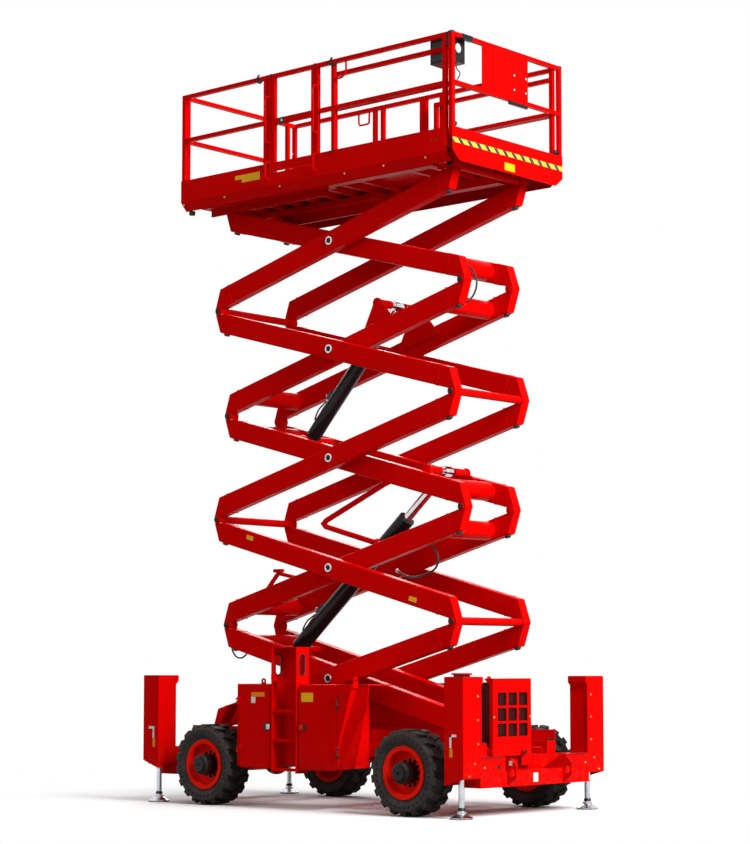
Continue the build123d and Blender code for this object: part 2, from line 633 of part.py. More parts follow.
def make_axles():
    yoke_in = KINGPIN_Y - 75
    front = axle_beam(FRONT_AXLE_X, yoke_in)
    for side in (-1, 1):
        yk = side * KINGPIN_Y
        ears = sorted((side * (yoke_in - 20), side * (KINGPIN_Y + 32)))
        yoke = block((FRONT_AXLE_X - 50, FRONT_AXLE_X + 50), ears, (WHEEL_R - 100, WHEEL_R + 100))
        clear = sorted((side * yoke_in, side * (KINGPIN_Y + 40)))
        yoke -= block((FRONT_AXLE_X - 51, FRONT_AXLE_X + 51), clear, (WHEEL_R - 71, WHEEL_R + 71))
        front += yoke
        front -= rod_z(FRONT_AXLE_X, yk, 22 + RUN, (WHEEL_R - 110, WHEEL_R + 110))
        knuckle = rod_z(FRONT_AXLE_X, yk, 62, (WHEEL_R - 70, WHEEL_R + 70))
        knuckle += rod_z(FRONT_AXLE_X, yk, 22, (WHEEL_R - 104, WHEEL_R + 104))
        knuckle += spindle(FRONT_AXLE_X, side, KINGPIN_Y)
        save("knuckle_left" if side > 0 else "knuckle_right", knuckle)
    save("front_axle", front)
    rear = axle_beam(REAR_AXLE_X, KINGPIN_Y)
    for side in (-1, 1):
        rear += spindle(REAR_AXLE_X, side, KINGPIN_Y - 10)
    save("rear_axle", rear)


# ------------------------------------------------------------------ chassis

def bumper():
    """Front bumper: a folded beam with taller ends, a lower lip and two tow plates."""
    low, top = BUMPER_Z
    t = BUMPER_T
    ends = HOUSE_Y[0]
    beam = plate([(CHASSIS_X, low), (BUMPER_X + BUMPER_LIP, low), (BUMPER_X + BUMPER_LIP, low + t),
                  (BUMPER_X, low + t), (BUMPER_X, top), (BUMPER_X - SHELF, top), (BUMPER_X - SHELF, top - t),
                  (BUMPER_X - t, top - t), (BUMPER_X - t, low + t), (CHASSIS_X, low + t)], (-ends, ends))
    corner = plate([(BUMPER_X - t, top - t), (BUMPER_X, top - t), (BUMPER_X, BUMPER_END_TOP),
                    (BUMPER_X - SHELF, BUMPER_END_TOP), (BUMPER_X - SHELF, BUMPER_END_TOP - t),
                    (BUMPER_X - t, BUMPER_END_TOP - t)], (BUMPER_END_Y, ends))
    stay = block((CHASSIS_X, BUMPER_X - t), (ends - t, ends), (low + t, BUMPER_END_TOP))
    tow = plate([(CHASSIS_X, low + t / 2), (BUMPER_X + 20, low + 30), (TOW_X - 55, low + 52), (TOW_X, low + 95),
                 (TOW_X, low + 213), (TOW_X - 70, low + 285), (BUMPER_X - 40, low + 285), (CHASSIS_X, top)],
                (TOW_Y - TOW_T / 2, TOW_Y + TOW_T / 2))
    back, rise, r = TOW_HOLE
    tow -= rod_y(TOW_X - back, low + rise, r, (TOW_Y - TOW_T, TOW_Y + TOW_T))
    return beam + both(corner + stay + tow)


def make_chassis():
    y0, y1 = BEAM_Y
    frame = both(block((-CHASSIS_X, CHASSIS_X), (y0, y1 - 12), (BEAM_LOW, BEAM_TOP)))
    frame += both(block((-CHASSIS_X, CHASSIS_X), (y1 - 12, y1), (BEAM_LOW, BASE_PIN_Z + 60)))
    for x, top in ((-CHASSIS_X, END_TOP), (-600, BEAM_TOP - 30), (560, BEAM_TOP - 30), (CHASSIS_X - 120, END_TOP)):
        frame += block((x, x + 120), (-y0, y0), (BEAM_LOW, top))
    lug_y = (INNER_Y + ARM_W / 2 - TONGUE_W / 2, INNER_Y + ARM_W / 2 + TONGUE_W / 2)
    lug = rod_y(PIN_X, BASE_PIN_Z, EYE_R, lug_y)
    lug += plate([(PIN_X - EYE_R, BASE_PIN_Z), (PIN_X + EYE_R, BASE_PIN_Z), (PIN_X + 150, BEAM_LOW),
                  (PIN_X - 150, BEAM_LOW)], lug_y)
    lug += block((PIN_X - 150, PIN_X + 150), (lug_y[0], y0), (BEAM_LOW, BEAM_LOW + 60))
    lug += rod_y(PIN_X, BASE_PIN_Z, PIN_R, (INNER_Y - PIN_HEAD, INNER_Y + ARM_W + PIN_HEAD))
    frame += both(lug)
    for sx in (-1, 1):
        ends = sorted((sx * (CHASSIS_X - 12), sx * CHASSIS_X))
        frame += block(ends, (-HOUSE_Y[0], HOUSE_Y[0]), (BUMPER_Z[0], END_TOP))
    frame += both(block((CAB_REAR, SIDE_PLATE_X), (y1, CAB_IN_Y), (BEAM_LOW, BEAM_LOW + 120)))
    for y, top in LOOPS:
        size = (y[1] - y[0], top - END_TOP + LOOP_BAR)
        inside = [s - 2 * LOOP_BAR for s in size]
        ring = RectangleRounded(*size, 2 * LOOP_BAR) - RectangleRounded(*inside, LOOP_BAR)
        centre = (CHASSIS_X - LOOP_BAR / 2, sum(y) / 2, top - size[1] / 2)
        frame += Pos(*centre) * extrude(Plane.YZ * ring, LOOP_BAR / 2, both=True)
    save("chassis_frame", frame)

    front = bumper()
    save("bumpers", front + mirror(front, Plane.YZ))


def make_outriggers():
    t = HOUSE_T
    housings = None
    # name, end (+1 front), side (+1 left), heights of the webs' lower edge towards the chassis and outside
    legs = (("front_left", 1, 1, 329, 397), ("front_right", 1, -1, 329, 397),
            ("rear_left", -1, 1, 374, 458), ("rear_right", -1, -1, 374, 458))
    for name, sx, sy, low_in, low_out in legs:
        x = (CHASSIS_X, BUMPER_X)
        shell = plate([(x[0], low_in), (x[1], low_out), (x[1], HOUSE_TOP), (x[0], HOUSE_TOP)], HOUSE_Y)
        room = (HOUSE_Y[0] + t, HOUSE_Y[1] - t)
        shell -= block((x[0] + t, x[1] - t), room, (low_in - 1, HOUSE_TOP - t))
        cap = [(room[0], HOUSE_TOP), (HOUSE_Y[0] - CAP_OUT, HOUSE_TOP),
               (HOUSE_Y[0] - CAP_OUT, HOUSE_TOP - CAP_DROP[0]), (HOUSE_Y[0], HOUSE_TOP - CAP_DROP[1]),
               (room[0], HOUSE_TOP - CAP_DROP[1])]
        shell += plate_x(cap, (x[0] + t, x[1]))
        shell += block((x[1] - t, x[1]), (HOUSE_Y[0] - FLANGE_OUT, HOUSE_Y[0] + 1), (BUMPER_END_TOP + 1, HOUSE_TOP))
        foot = (low_out + 20, low_out + 20 + LEG_TUBE_FOOT)
        tube = rod_z(LEG_X, LEG_Y, LEG_TUBE_R, (foot[0], HOUSE_TOP - t))
        tube += block((LEG_X - LEG_TUBE_R, LEG_X + LEG_TUBE_R), (LEG_Y, room[1] + 1), foot)
        tube -= rod_z(LEG_X, LEG_Y, LEG_R + RUN, (foot[0] - 1, HOUSE_TOP - 120))
        shell += tube
        shell = mirror(shell, Plane.YZ) if sx < 0 else shell
        shell = mirror(shell, Plane.XZ) if sy < 0 else shell
        housings = shell if housings is None else housings + shell
        leg = rod_z(sx * LEG_X, sy * LEG_Y, LEG_R, (20, 1000))
        foot = [(0, 0), (PAD_R - 8, 0), (PAD_R, 8), (PAD_R, 16), (LEG_R + 20, 55), (LEG_R + 20, 75), (0, 75)]
        face = make_face(Polyline(*[(sx * LEG_X + r, sy * LEG_Y, z) for r, z in foot], close=True))
        leg += revolve(face, Axis((sx * LEG_X, sy * LEG_Y, 0), (0, 0, 1)), 360)
        save(f"leg_{name}", leg)
    save("outrigger_housings", housings)


# name, side, rear edge, front edge, hinge edge
DOORS = (
    ("door_right_rear", -1, CAB_REAR, LADDER_X[0] - 14, "rear"),
    ("door_right_front", -1, LADDER_X[1] + 12, CAB_FRONT - 10, "front"),
    ("door_left_rear", 1, CAB_REAR, LADDER_X[0] - 14, "rear"),
    ("door_left_front", 1, LADDER_X[1] + 12, CAB_FRONT - 10, "front"),
)
DOOR_Z = (CAB_LOW - 20, CAB_TOP)
HINGE_Z = (CAB_LOW + 140, CAB_TOP - 220)
HINGE_H = 40
HINGE_R = 9
HINGE_PIN_R = 5
LEAF = 20


def hinge_leaf(hx, reach, low, high):
    """Leaf that runs from a hinge's axis along the skin."""
    return block(sorted((hx, hx + reach)), (SIDE_Y - 2, SIDE_Y + HINGE_OUT + 4), (low, high))


def cabinet_box(side, x):
    """Hollow cabinet between two values of x, open behind its doors, with its own halves of the hinges."""
    w = CAB_WALL
    z = (CAB_LOW, CAB_TOP)
    box = block(x, (CAB_IN_Y, DOOR_BACK), z)
    box -= block((x[0] + w, x[1] - w), (CAB_IN_Y + w, DOOR_BACK - w), (z[0] + w, z[1] - w))
    for _, door_side, x0, x1, edge in DOORS:
        if door_side != side or not x[0] < (x0 + x1) / 2 < x[1]:
            continue
        box -= block((x0 + DOOR_LAP, x1 - DOOR_LAP), (DOOR_BACK - w - 1, DOOR_BACK + 1),
                     (z[0] + DOOR_RIM, z[1] - DOOR_RIM))
        hx = x0 if edge == "rear" else x1
        out = sorted((hx, hx + (-w if edge == "rear" else w)))
        box += block(out, (DOOR_BACK - w, SIDE_Y), z)
        for low in HINGE_Z:
            box += rod_z(hx, SIDE_Y + HINGE_OUT, HINGE_R, (low, low + HINGE_H))
            box += rod_z(hx, SIDE_Y + HINGE_OUT, HINGE_PIN_R, (low, low + 2 * HINGE_H))
            box += hinge_leaf(hx, -LEAF if edge == "rear" else LEAF, low, low + HINGE_H)
    return box


def side_plate():
    """Skin in front of the doors: an upright gusset, the lifting strap, and a leaning plate cut for the wheel."""
    w = CAB_WALL
    (low_x, low_z), (top_x, top_z) = STRAP
    start = CAB_FRONT - 10
    skin = plate([(start, low_z), (low_x + 20, low_z), (top_x, top_z), (start, top_z)], (SIDE_Y - w, SIDE_Y))

    def lean(z):
        return SIDE_Y - PLATE_LEAN * (z - CAB_LOW)

    corner_top, corner_low = CORNER
    outline = [(start, CAB_LOW), (corner_low[0], CAB_LOW), corner_top, (SIDE_PLATE_X, corner_top[1]),
               (SIDE_PLATE_X, CAB_TOP), (start, CAB_TOP)]
    leaning = make_face(Polyline(*[(x, lean(z), z) for x, z in outline], close=True))
    skin += extrude(leaning, amount=w, dir=(0, -1, 0))
    foot_x = low_x + 20 - w / 2
    strap = make_face(Polyline((foot_x, SIDE_Y, low_z), (top_x, SIDE_Y, top_z), (top_x, SIDE_Y - STRAP_W[1], top_z),
                               (foot_x, SIDE_Y - STRAP_W[0] - w, low_z), close=True))
    skin += extrude(strap, amount=w, dir=(1, 0, 0))
    facet = make_face(Polyline((corner_top[0], lean(corner_top[1]), corner_top[1]), (corner_low[0], SIDE_Y, CAB_LOW),
                               (corner_low[0], SIDE_Y - CORNER_IN, CAB_LOW), close=True))
    skin += extrude(facet, amount=w, dir=(-1, 0, 0))
    skin += block((start, SIDE_PLATE_X), (CAB_IN_Y, SIDE_Y - STRAP_W[1] + w / 2), (CAB_TOP - w, CAB_TOP))
    lug_y = SIDE_Y - STRAP_W[1] / 2
    lug = block((LUG_X - 40, LUG_X - 40 + w), (lug_y - LUG_R, lug_y + LUG_R), (CAB_TOP - 40, CAB_TOP + LUG_RISE))
    lug += rod_x(lug_y, CAB_TOP + LUG_RISE, LUG_R, (LUG_X - 40, LUG_X - 40 + w))
    lug -= rod_x(lug_y, CAB_TOP + LUG_RISE, LUG_HOLE_R, (LUG_X - 41, LUG_X - 39 + w))
    return skin + lug


def lifting_ring():
    y = (SIDE_Y - 160, SIDE_Y - 146)
    ring = rod_y(RING_X, CAB_TOP + RING_R, RING_R, y) - rod_y(RING_X, CAB_TOP + RING_R, RING_R / 2, y)
    return ring + block((RING_X - RING_R, RING_X + RING_R), y, (CAB_TOP - 1, CAB_TOP + RING_R / 2))


def fender():
    """Folded guard over the rear wheel's inner side."""
    under = [(x + 4, z - CAB_WALL) for x, z in reversed(FENDER)]
    return plate(list(FENDER) + under, FENDER_Y)


def make_door(side, x0, x1, edge):
    g = DOOR_GAP
    t = DOOR_T
    door = block((x0 + g, x1 - g), (SIDE_Y - t, SIDE_Y), DOOR_Z)
    door = fillet(door.edges().filter_by(Axis.Y), DOOR_ROUND)
    door = fillet(door.faces().sort_by(Axis.Y)[-1].edges(), DOOR_EDGE_R)
    hx = x0 if edge == "rear" else x1
    for z in HINGE_Z:
        low = z + HINGE_H + 0.5
        door += rod_z(hx, SIDE_Y + HINGE_OUT, HINGE_R, (low, low + HINGE_H - 1))
        reach = LEAF + DOOR_EDGE_R
        door += hinge_leaf(hx, reach if edge == "rear" else -reach, low, low + HINGE_H - 1)
        door -= rod_z(hx, SIDE_Y + HINGE_OUT, HINGE_PIN_R + RUN, (low - 1, low + HINGE_H))
    return door if side > 0 else mirror(door, Plane.XZ)


def make_cabinets():
    w = CAB_WALL
    extras = side_plate() + fender() + lifting_ring()
    save("left_cabinet", cabinet_box(1, (CAB_REAR - w, CAB_FRONT)) + extras)
    right = cabinet_box(-1, (CAB_REAR - w, LADDER_X[0]))
    right += cabinet_box(-1, (LADDER_X[1], CAB_FRONT)) + extras
    x = (LADDER_X[0] + SEAT_GAP, LADDER_X[1] - SEAT_GAP)
    inside = (LADDER_X[0] + LADDER_T + SEAT_GAP, LADDER_X[1] - LADDER_T - SEAT_GAP)
    right += block(x, (STEP_Y - w, STEP_Y - SEAT_GAP), (CAB_LOW, LADDER_TOP))
    right += block(inside, (STEP_Y - w, SIDE_Y), (LADDER_TOP - w, LADDER_TOP))
    save("right_cabinet", mirror(right, Plane.XZ))
    for door, s, x0, x1, edge in DOORS:
        save(door, make_door(s, x0, x1, edge))
    engine = block(ENGINE_X, (CAB_IN_Y + CAB_WALL + 30, DOOR_BACK - 76), (CAB_LOW + CAB_WALL, ENGINE_TOP))
    save("engine", engine)


def make_ladder():
    t = LADDER_T
    sides = None
    middle = -(SIDE_Y + STEP_Y) / 2
    for x in (LADDER_X[0], LADDER_X[1] - t):
        side = block((x, x + t), (-SIDE_Y - t, -STEP_Y), (CAB_LOW - 60, LADDER_TOP))
        slot = SlotOverall(HANDHOLE[1] - HANDHOLE[0], HANDHOLE_W, 90)
        cut = extrude(Plane.YZ * slot, t, both=True)
        side -= Pos(x + t / 2, middle, sum(HANDHOLE) / 2) * cut
        sides = side if sides is None else sides + side
    save("ladder_sides", sides)
    rungs = None
    for i in range(RUNGS):
        z = CAB_LOW - 40 + i * RUNG_STEP
        rung = block((LADDER_X[0] + t, LADDER_X[1] - t), (-SIDE_Y, -SIDE_Y + RUNG_DEPTH), (z, z + RUNG_T))
        rungs = rung if rungs is None else rungs + rung
    save("ladder_rungs", rungs)


# ------------------------------------------------------------------ radiator

def make_radiator():
    t = COVER_T
    x = (COVER_X - t, COVER_X)
    drop_y, drop_z = COVER_DROP
    y0, y1 = COVER_Y
    cover = plate_x([(y0, COVER_LOW), (drop_y, COVER_LOW), (drop_y, drop_z), (y1, drop_z), (y1, COVER_TOP),
                     (y0, COVER_TOP)], x)
    for i in range(3):
        for j in range(3):
            yw = WINDOW_START[0] + i * WINDOW_PITCH[0]
            zw = WINDOW_START[1] + j * WINDOW_PITCH[1]
            cover -= block((x[0] - 1, x[1] + 1), (yw, yw + WINDOW[0]), (zw, zw + WINDOW[1]))
    shallow, deep = COVER_SIDE
    side = [(COVER_X, COVER_LOW), (COVER_X, COVER_TOP), (COVER_X - deep, COVER_TOP),
            (COVER_X - deep, COVER_TOP - FLARE[1]), (COVER_X - shallow, COVER_TOP - FLARE[0]),
            (COVER_X - shallow, COVER_LOW)]
    for y in (y0, y1 - t):
        cover += plate(side, (y, y + t))
    cover += block((COVER_X - deep, COVER_X), (y0, y1), (COVER_TOP - t, COVER_TOP))
    save("radiator_cover", cover)
    core = block((CORE_X, COVER_X - shallow / 2), (y0 + t, y1 - t), (END_TOP, COVER_TOP - CORE_DROP))
    save("radiator_core", core)
    y, z, r = EXHAUST
    pipe = rod_x(y, z, r, (COVER_X, EXHAUST_X))
    save("exhaust", pipe - rod_x(y, z, r - 4, (x[1] + 1, EXHAUST_X + 1)))


def main():
    os.makedirs("parts", exist_ok=True)
    make_arms()
    make_cylinders()
    make_deck()
    make_rails()
    make_extension()
    tyre = tyre_solid()
    for name, x, side in (("front_left", FRONT_AXLE_X, 1), ("front_right", FRONT_AXLE_X, -1),
                          ("rear_left", REAR_AXLE_X, 1), ("rear_right", REAR_AXLE_X, -1)):
        make_wheel(name, x, side, tyre)
    make_axles()
    make_chassis()
    make_outriggers()
    make_cabinets()
    make_ladder()
    make_radiator()


main()
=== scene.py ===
import math

import bmesh
import bpy
from mathutils import Matrix, Vector


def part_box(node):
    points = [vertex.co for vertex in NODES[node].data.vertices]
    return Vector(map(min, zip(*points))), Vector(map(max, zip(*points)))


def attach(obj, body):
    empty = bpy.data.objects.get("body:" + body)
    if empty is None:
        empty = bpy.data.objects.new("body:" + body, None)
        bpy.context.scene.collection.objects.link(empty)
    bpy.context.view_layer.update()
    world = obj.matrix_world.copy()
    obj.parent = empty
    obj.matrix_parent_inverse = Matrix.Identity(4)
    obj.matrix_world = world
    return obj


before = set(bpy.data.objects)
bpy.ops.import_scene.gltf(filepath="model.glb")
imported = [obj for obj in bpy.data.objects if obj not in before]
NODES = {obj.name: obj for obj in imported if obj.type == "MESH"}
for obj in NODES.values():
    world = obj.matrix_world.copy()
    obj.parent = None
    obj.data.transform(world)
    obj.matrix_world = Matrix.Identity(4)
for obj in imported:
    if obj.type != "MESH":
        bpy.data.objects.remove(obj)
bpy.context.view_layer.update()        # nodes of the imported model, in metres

# Rough-terrain scissor lift. +X is the front, +Y the left side, +Z up; the origin is on the ground.
# CAD nodes keep their shapes and get paint here; this script adds the small parts that ride on them.


# ------------------------------------------------------------------ node materials

class Shader:
    """A material with one Principled shader, and short ways to add and link nodes."""

    def __init__(self, name):
        self.material = bpy.data.materials.new(name)
        self.material.use_nodes = True
        self.tree = self.material.node_tree
        self.out = self.tree.nodes["Material Output"]
        self.bsdf = self.tree.nodes["Principled BSDF"]

    def node(self, kind, **values):
        made = self.tree.nodes.new(kind)
        for key, value in values.items():
            if key in made.inputs:
                made.inputs[key].default_value = value
            else:
                setattr(made, key, value)
        return made

    def link(self, source, target):
        self.tree.links.new(source, target)

    def place(self):
        """Coordinates fixed to the object, in metres."""
        return self.node("ShaderNodeTexCoord").outputs["Object"]

    def noise(self, scale, detail=4.0, rough=0.55):
        texture = self.node("ShaderNodeTexNoise", Scale=scale, Detail=detail, Roughness=rough)
        self.link(self.place(), texture.inputs["Vector"])
        return texture.outputs["Fac"]

    def remap(self, source, low, high, to_low, to_high):
        ramp = self.node("ShaderNodeMapRange")
        for key, value in (("From Min", low), ("From Max", high), ("To Min", to_low), ("To Max", to_high)):
            ramp.inputs[key].default_value = value
        self.link(source, ramp.inputs["Value"])
        return ramp.outputs["Result"]

    def blend(self, fac, a, b):
        """Colour a where fac is 0 and colour b where it is 1; each is a colour or a socket."""
        mix = self.node("ShaderNodeMix", data_type="RGBA")
        self.link(fac, mix.inputs[0])
        for value, socket in ((a, mix.inputs[6]), (b, mix.inputs[7])):
            if isinstance(value, tuple):
                socket.default_value = (*value, 1)
            else:
                self.link(value, socket)
        return mix.outputs[2]

    def maths(self, operation, a, b=None):
        made = self.node("ShaderNodeMath", operation=operation)
        for value, socket in ((a, made.inputs[0]), (b, made.inputs[1])):
            if isinstance(value, (int, float)):
                socket.default_value = value
            elif value is not None:
                self.link(value, socket)
        return made.outputs[0]

    def bump(self, height, strength, distance, edge=0.0):
        """Surface relief; edge rounds sharp corners over that radius."""
        made = self.node("ShaderNodeBump", Strength=strength, Distance=distance)
        self.link(height, made.inputs["Height"])
        if edge:
            self.link(self.node("ShaderNodeBevel", samples=4, Radius=edge).outputs["Normal"],
                      made.inputs["Normal"])
        self.link(made.outputs["Normal"], self.bsdf.inputs["Normal"])

    def set(self, **values):
        for key, value in values.items():
            self.bsdf.inputs[key.replace("_", " ")].default_value = value


def paint(name, colour, shade, rough=(0.22, 0.34), coat=0.0, edge=0.003, shine=0.02, tint=(1, 1, 1)):
    """Gloss paint: faintly uneven colour, dust low on the machine, orange peel and rounded edges."""
    s = Shader(name)
    s.set(Coat_Weight=coat, Coat_Roughness=0.06, Specular_IOR_Level=shine, Specular_Tint=(*tint, 1))
    cloud = s.remap(s.noise(2.1, 5.0), 0.3, 0.7, 0.0, 1.0)
    tone = s.blend(cloud, colour, shade)
    split = s.node("ShaderNodeSeparateXYZ")
    s.link(s.place(), split.inputs[0])
    low = s.remap(split.outputs["Z"], 0.25, 0.75, DUST_LOW, 0.0)
    speckle = s.remap(s.noise(14.0, 10.0, 0.75), 0.45, 0.8, 0.0, 1.0)
    dust = s.maths("MULTIPLY", low, speckle)
    s.link(s.blend(dust, tone, (0.20, 0.13, 0.09)), s.bsdf.inputs["Base Color"])
    s.link(s.remap(s.noise(9.0, 8.0, 0.65), 0.35, 0.7, *rough), s.bsdf.inputs["Roughness"])
    s.bump(s.noise(240.0, 2.0), 0.05, 0.001, edge)
    return s.material


def metal(name, colour, rough, grain, edge=0.0015):
    s = Shader(name)
    s.set(Metallic=1.0)
    spots = s.remap(s.noise(grain, 6.0, 0.7), 0.3, 0.75, 0.0, 1.0)
    darker = tuple(c * 0.72 for c in colour)
    s.link(s.blend(spots, colour, darker), s.bsdf.inputs["Base Color"])
    s.link(s.remap(s.noise(grain * 2.5, 5.0), 0.3, 0.7, *rough), s.bsdf.inputs["Roughness"])
    s.bump(s.noise(grain * 6, 3.0), 0.08, 0.0006, edge)
    return s.material


def rubber(name, colour, dust, rough=(0.62, 0.85)):
    s = Shader(name)
    s.set(Specular_IOR_Level=0.35)
    fine = s.remap(s.noise(9.0, 9.0, 0.7), 0.38, 0.7, 0.0, 1.0)
    s.link(s.blend(fine, colour, dust), s.bsdf.inputs["Base Color"])
    s.link(s.remap(s.noise(30.0, 4.0), 0.3, 0.7, *rough), s.bsdf.inputs["Roughness"])
    s.bump(s.noise(180.0, 5.0), 0.25, 0.0012, 0.004)
    return s.material


def screen(name, wire, shaded_gap):
    """Fine square mesh, as on a radiator's core: wires in their own dark red, and painted shade in the holes
    between them.
    """
    s = Shader(name)
    s.set(Specular_IOR_Level=0.1)
    parts = s.node("ShaderNodeSeparateXYZ")
    s.link(s.place(), parts.inputs[0])
    lines = []
    for axis in ("Y", "Z"):
        turn = s.maths("FRACT", s.maths("MULTIPLY", parts.outputs[axis], 1 / MESH_PITCH))
        lines.append(s.maths("LESS_THAN", turn, 0.35))
    # the near-black between the wires is painted shade seen through the holes
    s.link(s.blend(s.maths("MAXIMUM", *lines), shaded_gap, wire), s.bsdf.inputs["Base Color"])
    s.link(s.remap(s.noise(40.0, 4.0), 0.3, 0.7, 0.45, 0.65), s.bsdf.inputs["Roughness"])
    s.bump(s.noise(90.0, 3.0), 0.1, 0.0005)
    return s.material


def hazard(name):
    """Yellow and black stripes that lean across a flat strip facing forward."""
    s = Shader(name)
    s.set(Coat_Weight=0.3, Coat_Roughness=0.15)
    parts = s.node("ShaderNodeSeparateXYZ")
    s.link(s.place(), parts.inputs[0])
    lean = s.maths("ADD", parts.outputs["Y"], parts.outputs["Z"])
    turn = s.maths("FRACT", s.maths("MULTIPLY", lean, 1 / STRIPE_PITCH))
    black = s.maths("GREATER_THAN", turn, STRIPE_YELLOW)
    s.link(s.blend(black, (0.9, 0.55, 0.02), (0.012, 0.012, 0.014)), s.bsdf.inputs["Base Color"])
    s.link(s.remap(s.noise(40.0, 4.0), 0.3, 0.7, 0.3, 0.45), s.bsdf.inputs["Roughness"])
    s.bump(s.noise(300.0, 2.0), 0.05, 0.0005)
    return s.material


STRIPE_PITCH = 0.148
STRIPE_YELLOW = 0.58         # yellow's share of the stripes
MESH_PITCH = 0.016
DUST_LOW = 0.16              # share of dust at the foot of the painted parts
RED = (0.70, 0.0010, 0.0006)
RED_SHADE = (0.63, 0.0009, 0.0006)
WARM = (1.0, 0.10, 0.06)     # colour of the paint's own reflection
BLACK = (0.006, 0.005, 0.005)

MATERIALS = {
    "red": paint("red_gloss", RED, RED_SHADE, tint=WARM),
    "black": paint("black_satin", BLACK, (0.012, 0.010, 0.010), rough=(0.22, 0.36), coat=0.06, edge=0.002,
                   shine=0.16),
    "rim": paint("rim_red", (1.0, 0.012, 0.004), (0.94, 0.010, 0.003), edge=0.004, tint=WARM),
    "rubber": rubber("tyre_rubber", (0.013, 0.0095, 0.008), (0.036, 0.028, 0.023)),
    "pad": rubber("black_pad", (0.008, 0.008, 0.008), (0.018, 0.017, 0.016), rough=(0.45, 0.6)),
    "hose": rubber("hose_black", (0.010, 0.010, 0.011), (0.022, 0.021, 0.020), rough=(0.35, 0.5)),
    # near-black: painted shade in holes, slots and vents
    "hole_shade": rubber("painted_hole_shade_black", (0.0015, 0.0012, 0.001), (0.003, 0.0025, 0.002), rough=(0.8, 0.95)),
    # the second colour of the core mesh is painted shade in its holes
    "grille": screen("core_mesh_and_hole_shade", (0.05, 0.0015, 0.001), (0.006, 0.001, 0.001)),
    "chrome": metal("hard_chrome", (0.80, 0.80, 0.82), (0.05, 0.14), 20.0),
    "zinc": metal("zinc_plate", (0.80, 0.82, 0.87), (0.18, 0.34), 12.0),
    "brass": metal("brass_fitting", (0.62, 0.42, 0.13), (0.25, 0.4), 60.0),
    "iron": metal("engine_iron", (0.09, 0.09, 0.10), (0.5, 0.7), 30.0),
    "hazard": hazard("hazard_stripe"),
    "white": paint("blank_label_white", (0.75, 0.75, 0.73), (0.68, 0.68, 0.66), coat=0.1, edge=0.0),
    "yellow": paint("blank_label_yellow", (0.86, 0.46, 0.01), (0.80, 0.41, 0.01), coat=0.1, edge=0.0),
    "orange": paint("blank_label_orange", (0.84, 0.27, 0.01), (0.76, 0.23, 0.01), coat=0.1, edge=0.0),
}

# start of a CAD node's name, finish; the rest of the nodes are red
NODE_PAINT = (
    ("tyre_", "rubber"), ("rim_", "rim"), ("hub_", "black"), ("leg_", "zinc"), ("lower_barrel", "black"),
    ("upper_barrel", "black"), ("lower_rod", "chrome"), ("upper_rod", "chrome"), ("engine", "iron"),
    ("front_axle", "black"), ("rear_axle", "black"), ("knuckle_", "black"), ("control_box", "black"),
    ("radiator_core", "grille"),
)


def paint_nodes():
    for name, node in NODES.items():
        finish = next((look for start, look in NODE_PAINT if name.startswith(start)), "red")
        node.data.materials.clear()
        node.data.materials.append(MATERIALS[finish])


# ------------------------------------------------------------------ mesh pieces

def facing(direction):
    """Rotation that turns +Z into a direction."""
    return Vector(direction).to_track_quat("Z", "Y").to_matrix().to_4x4()


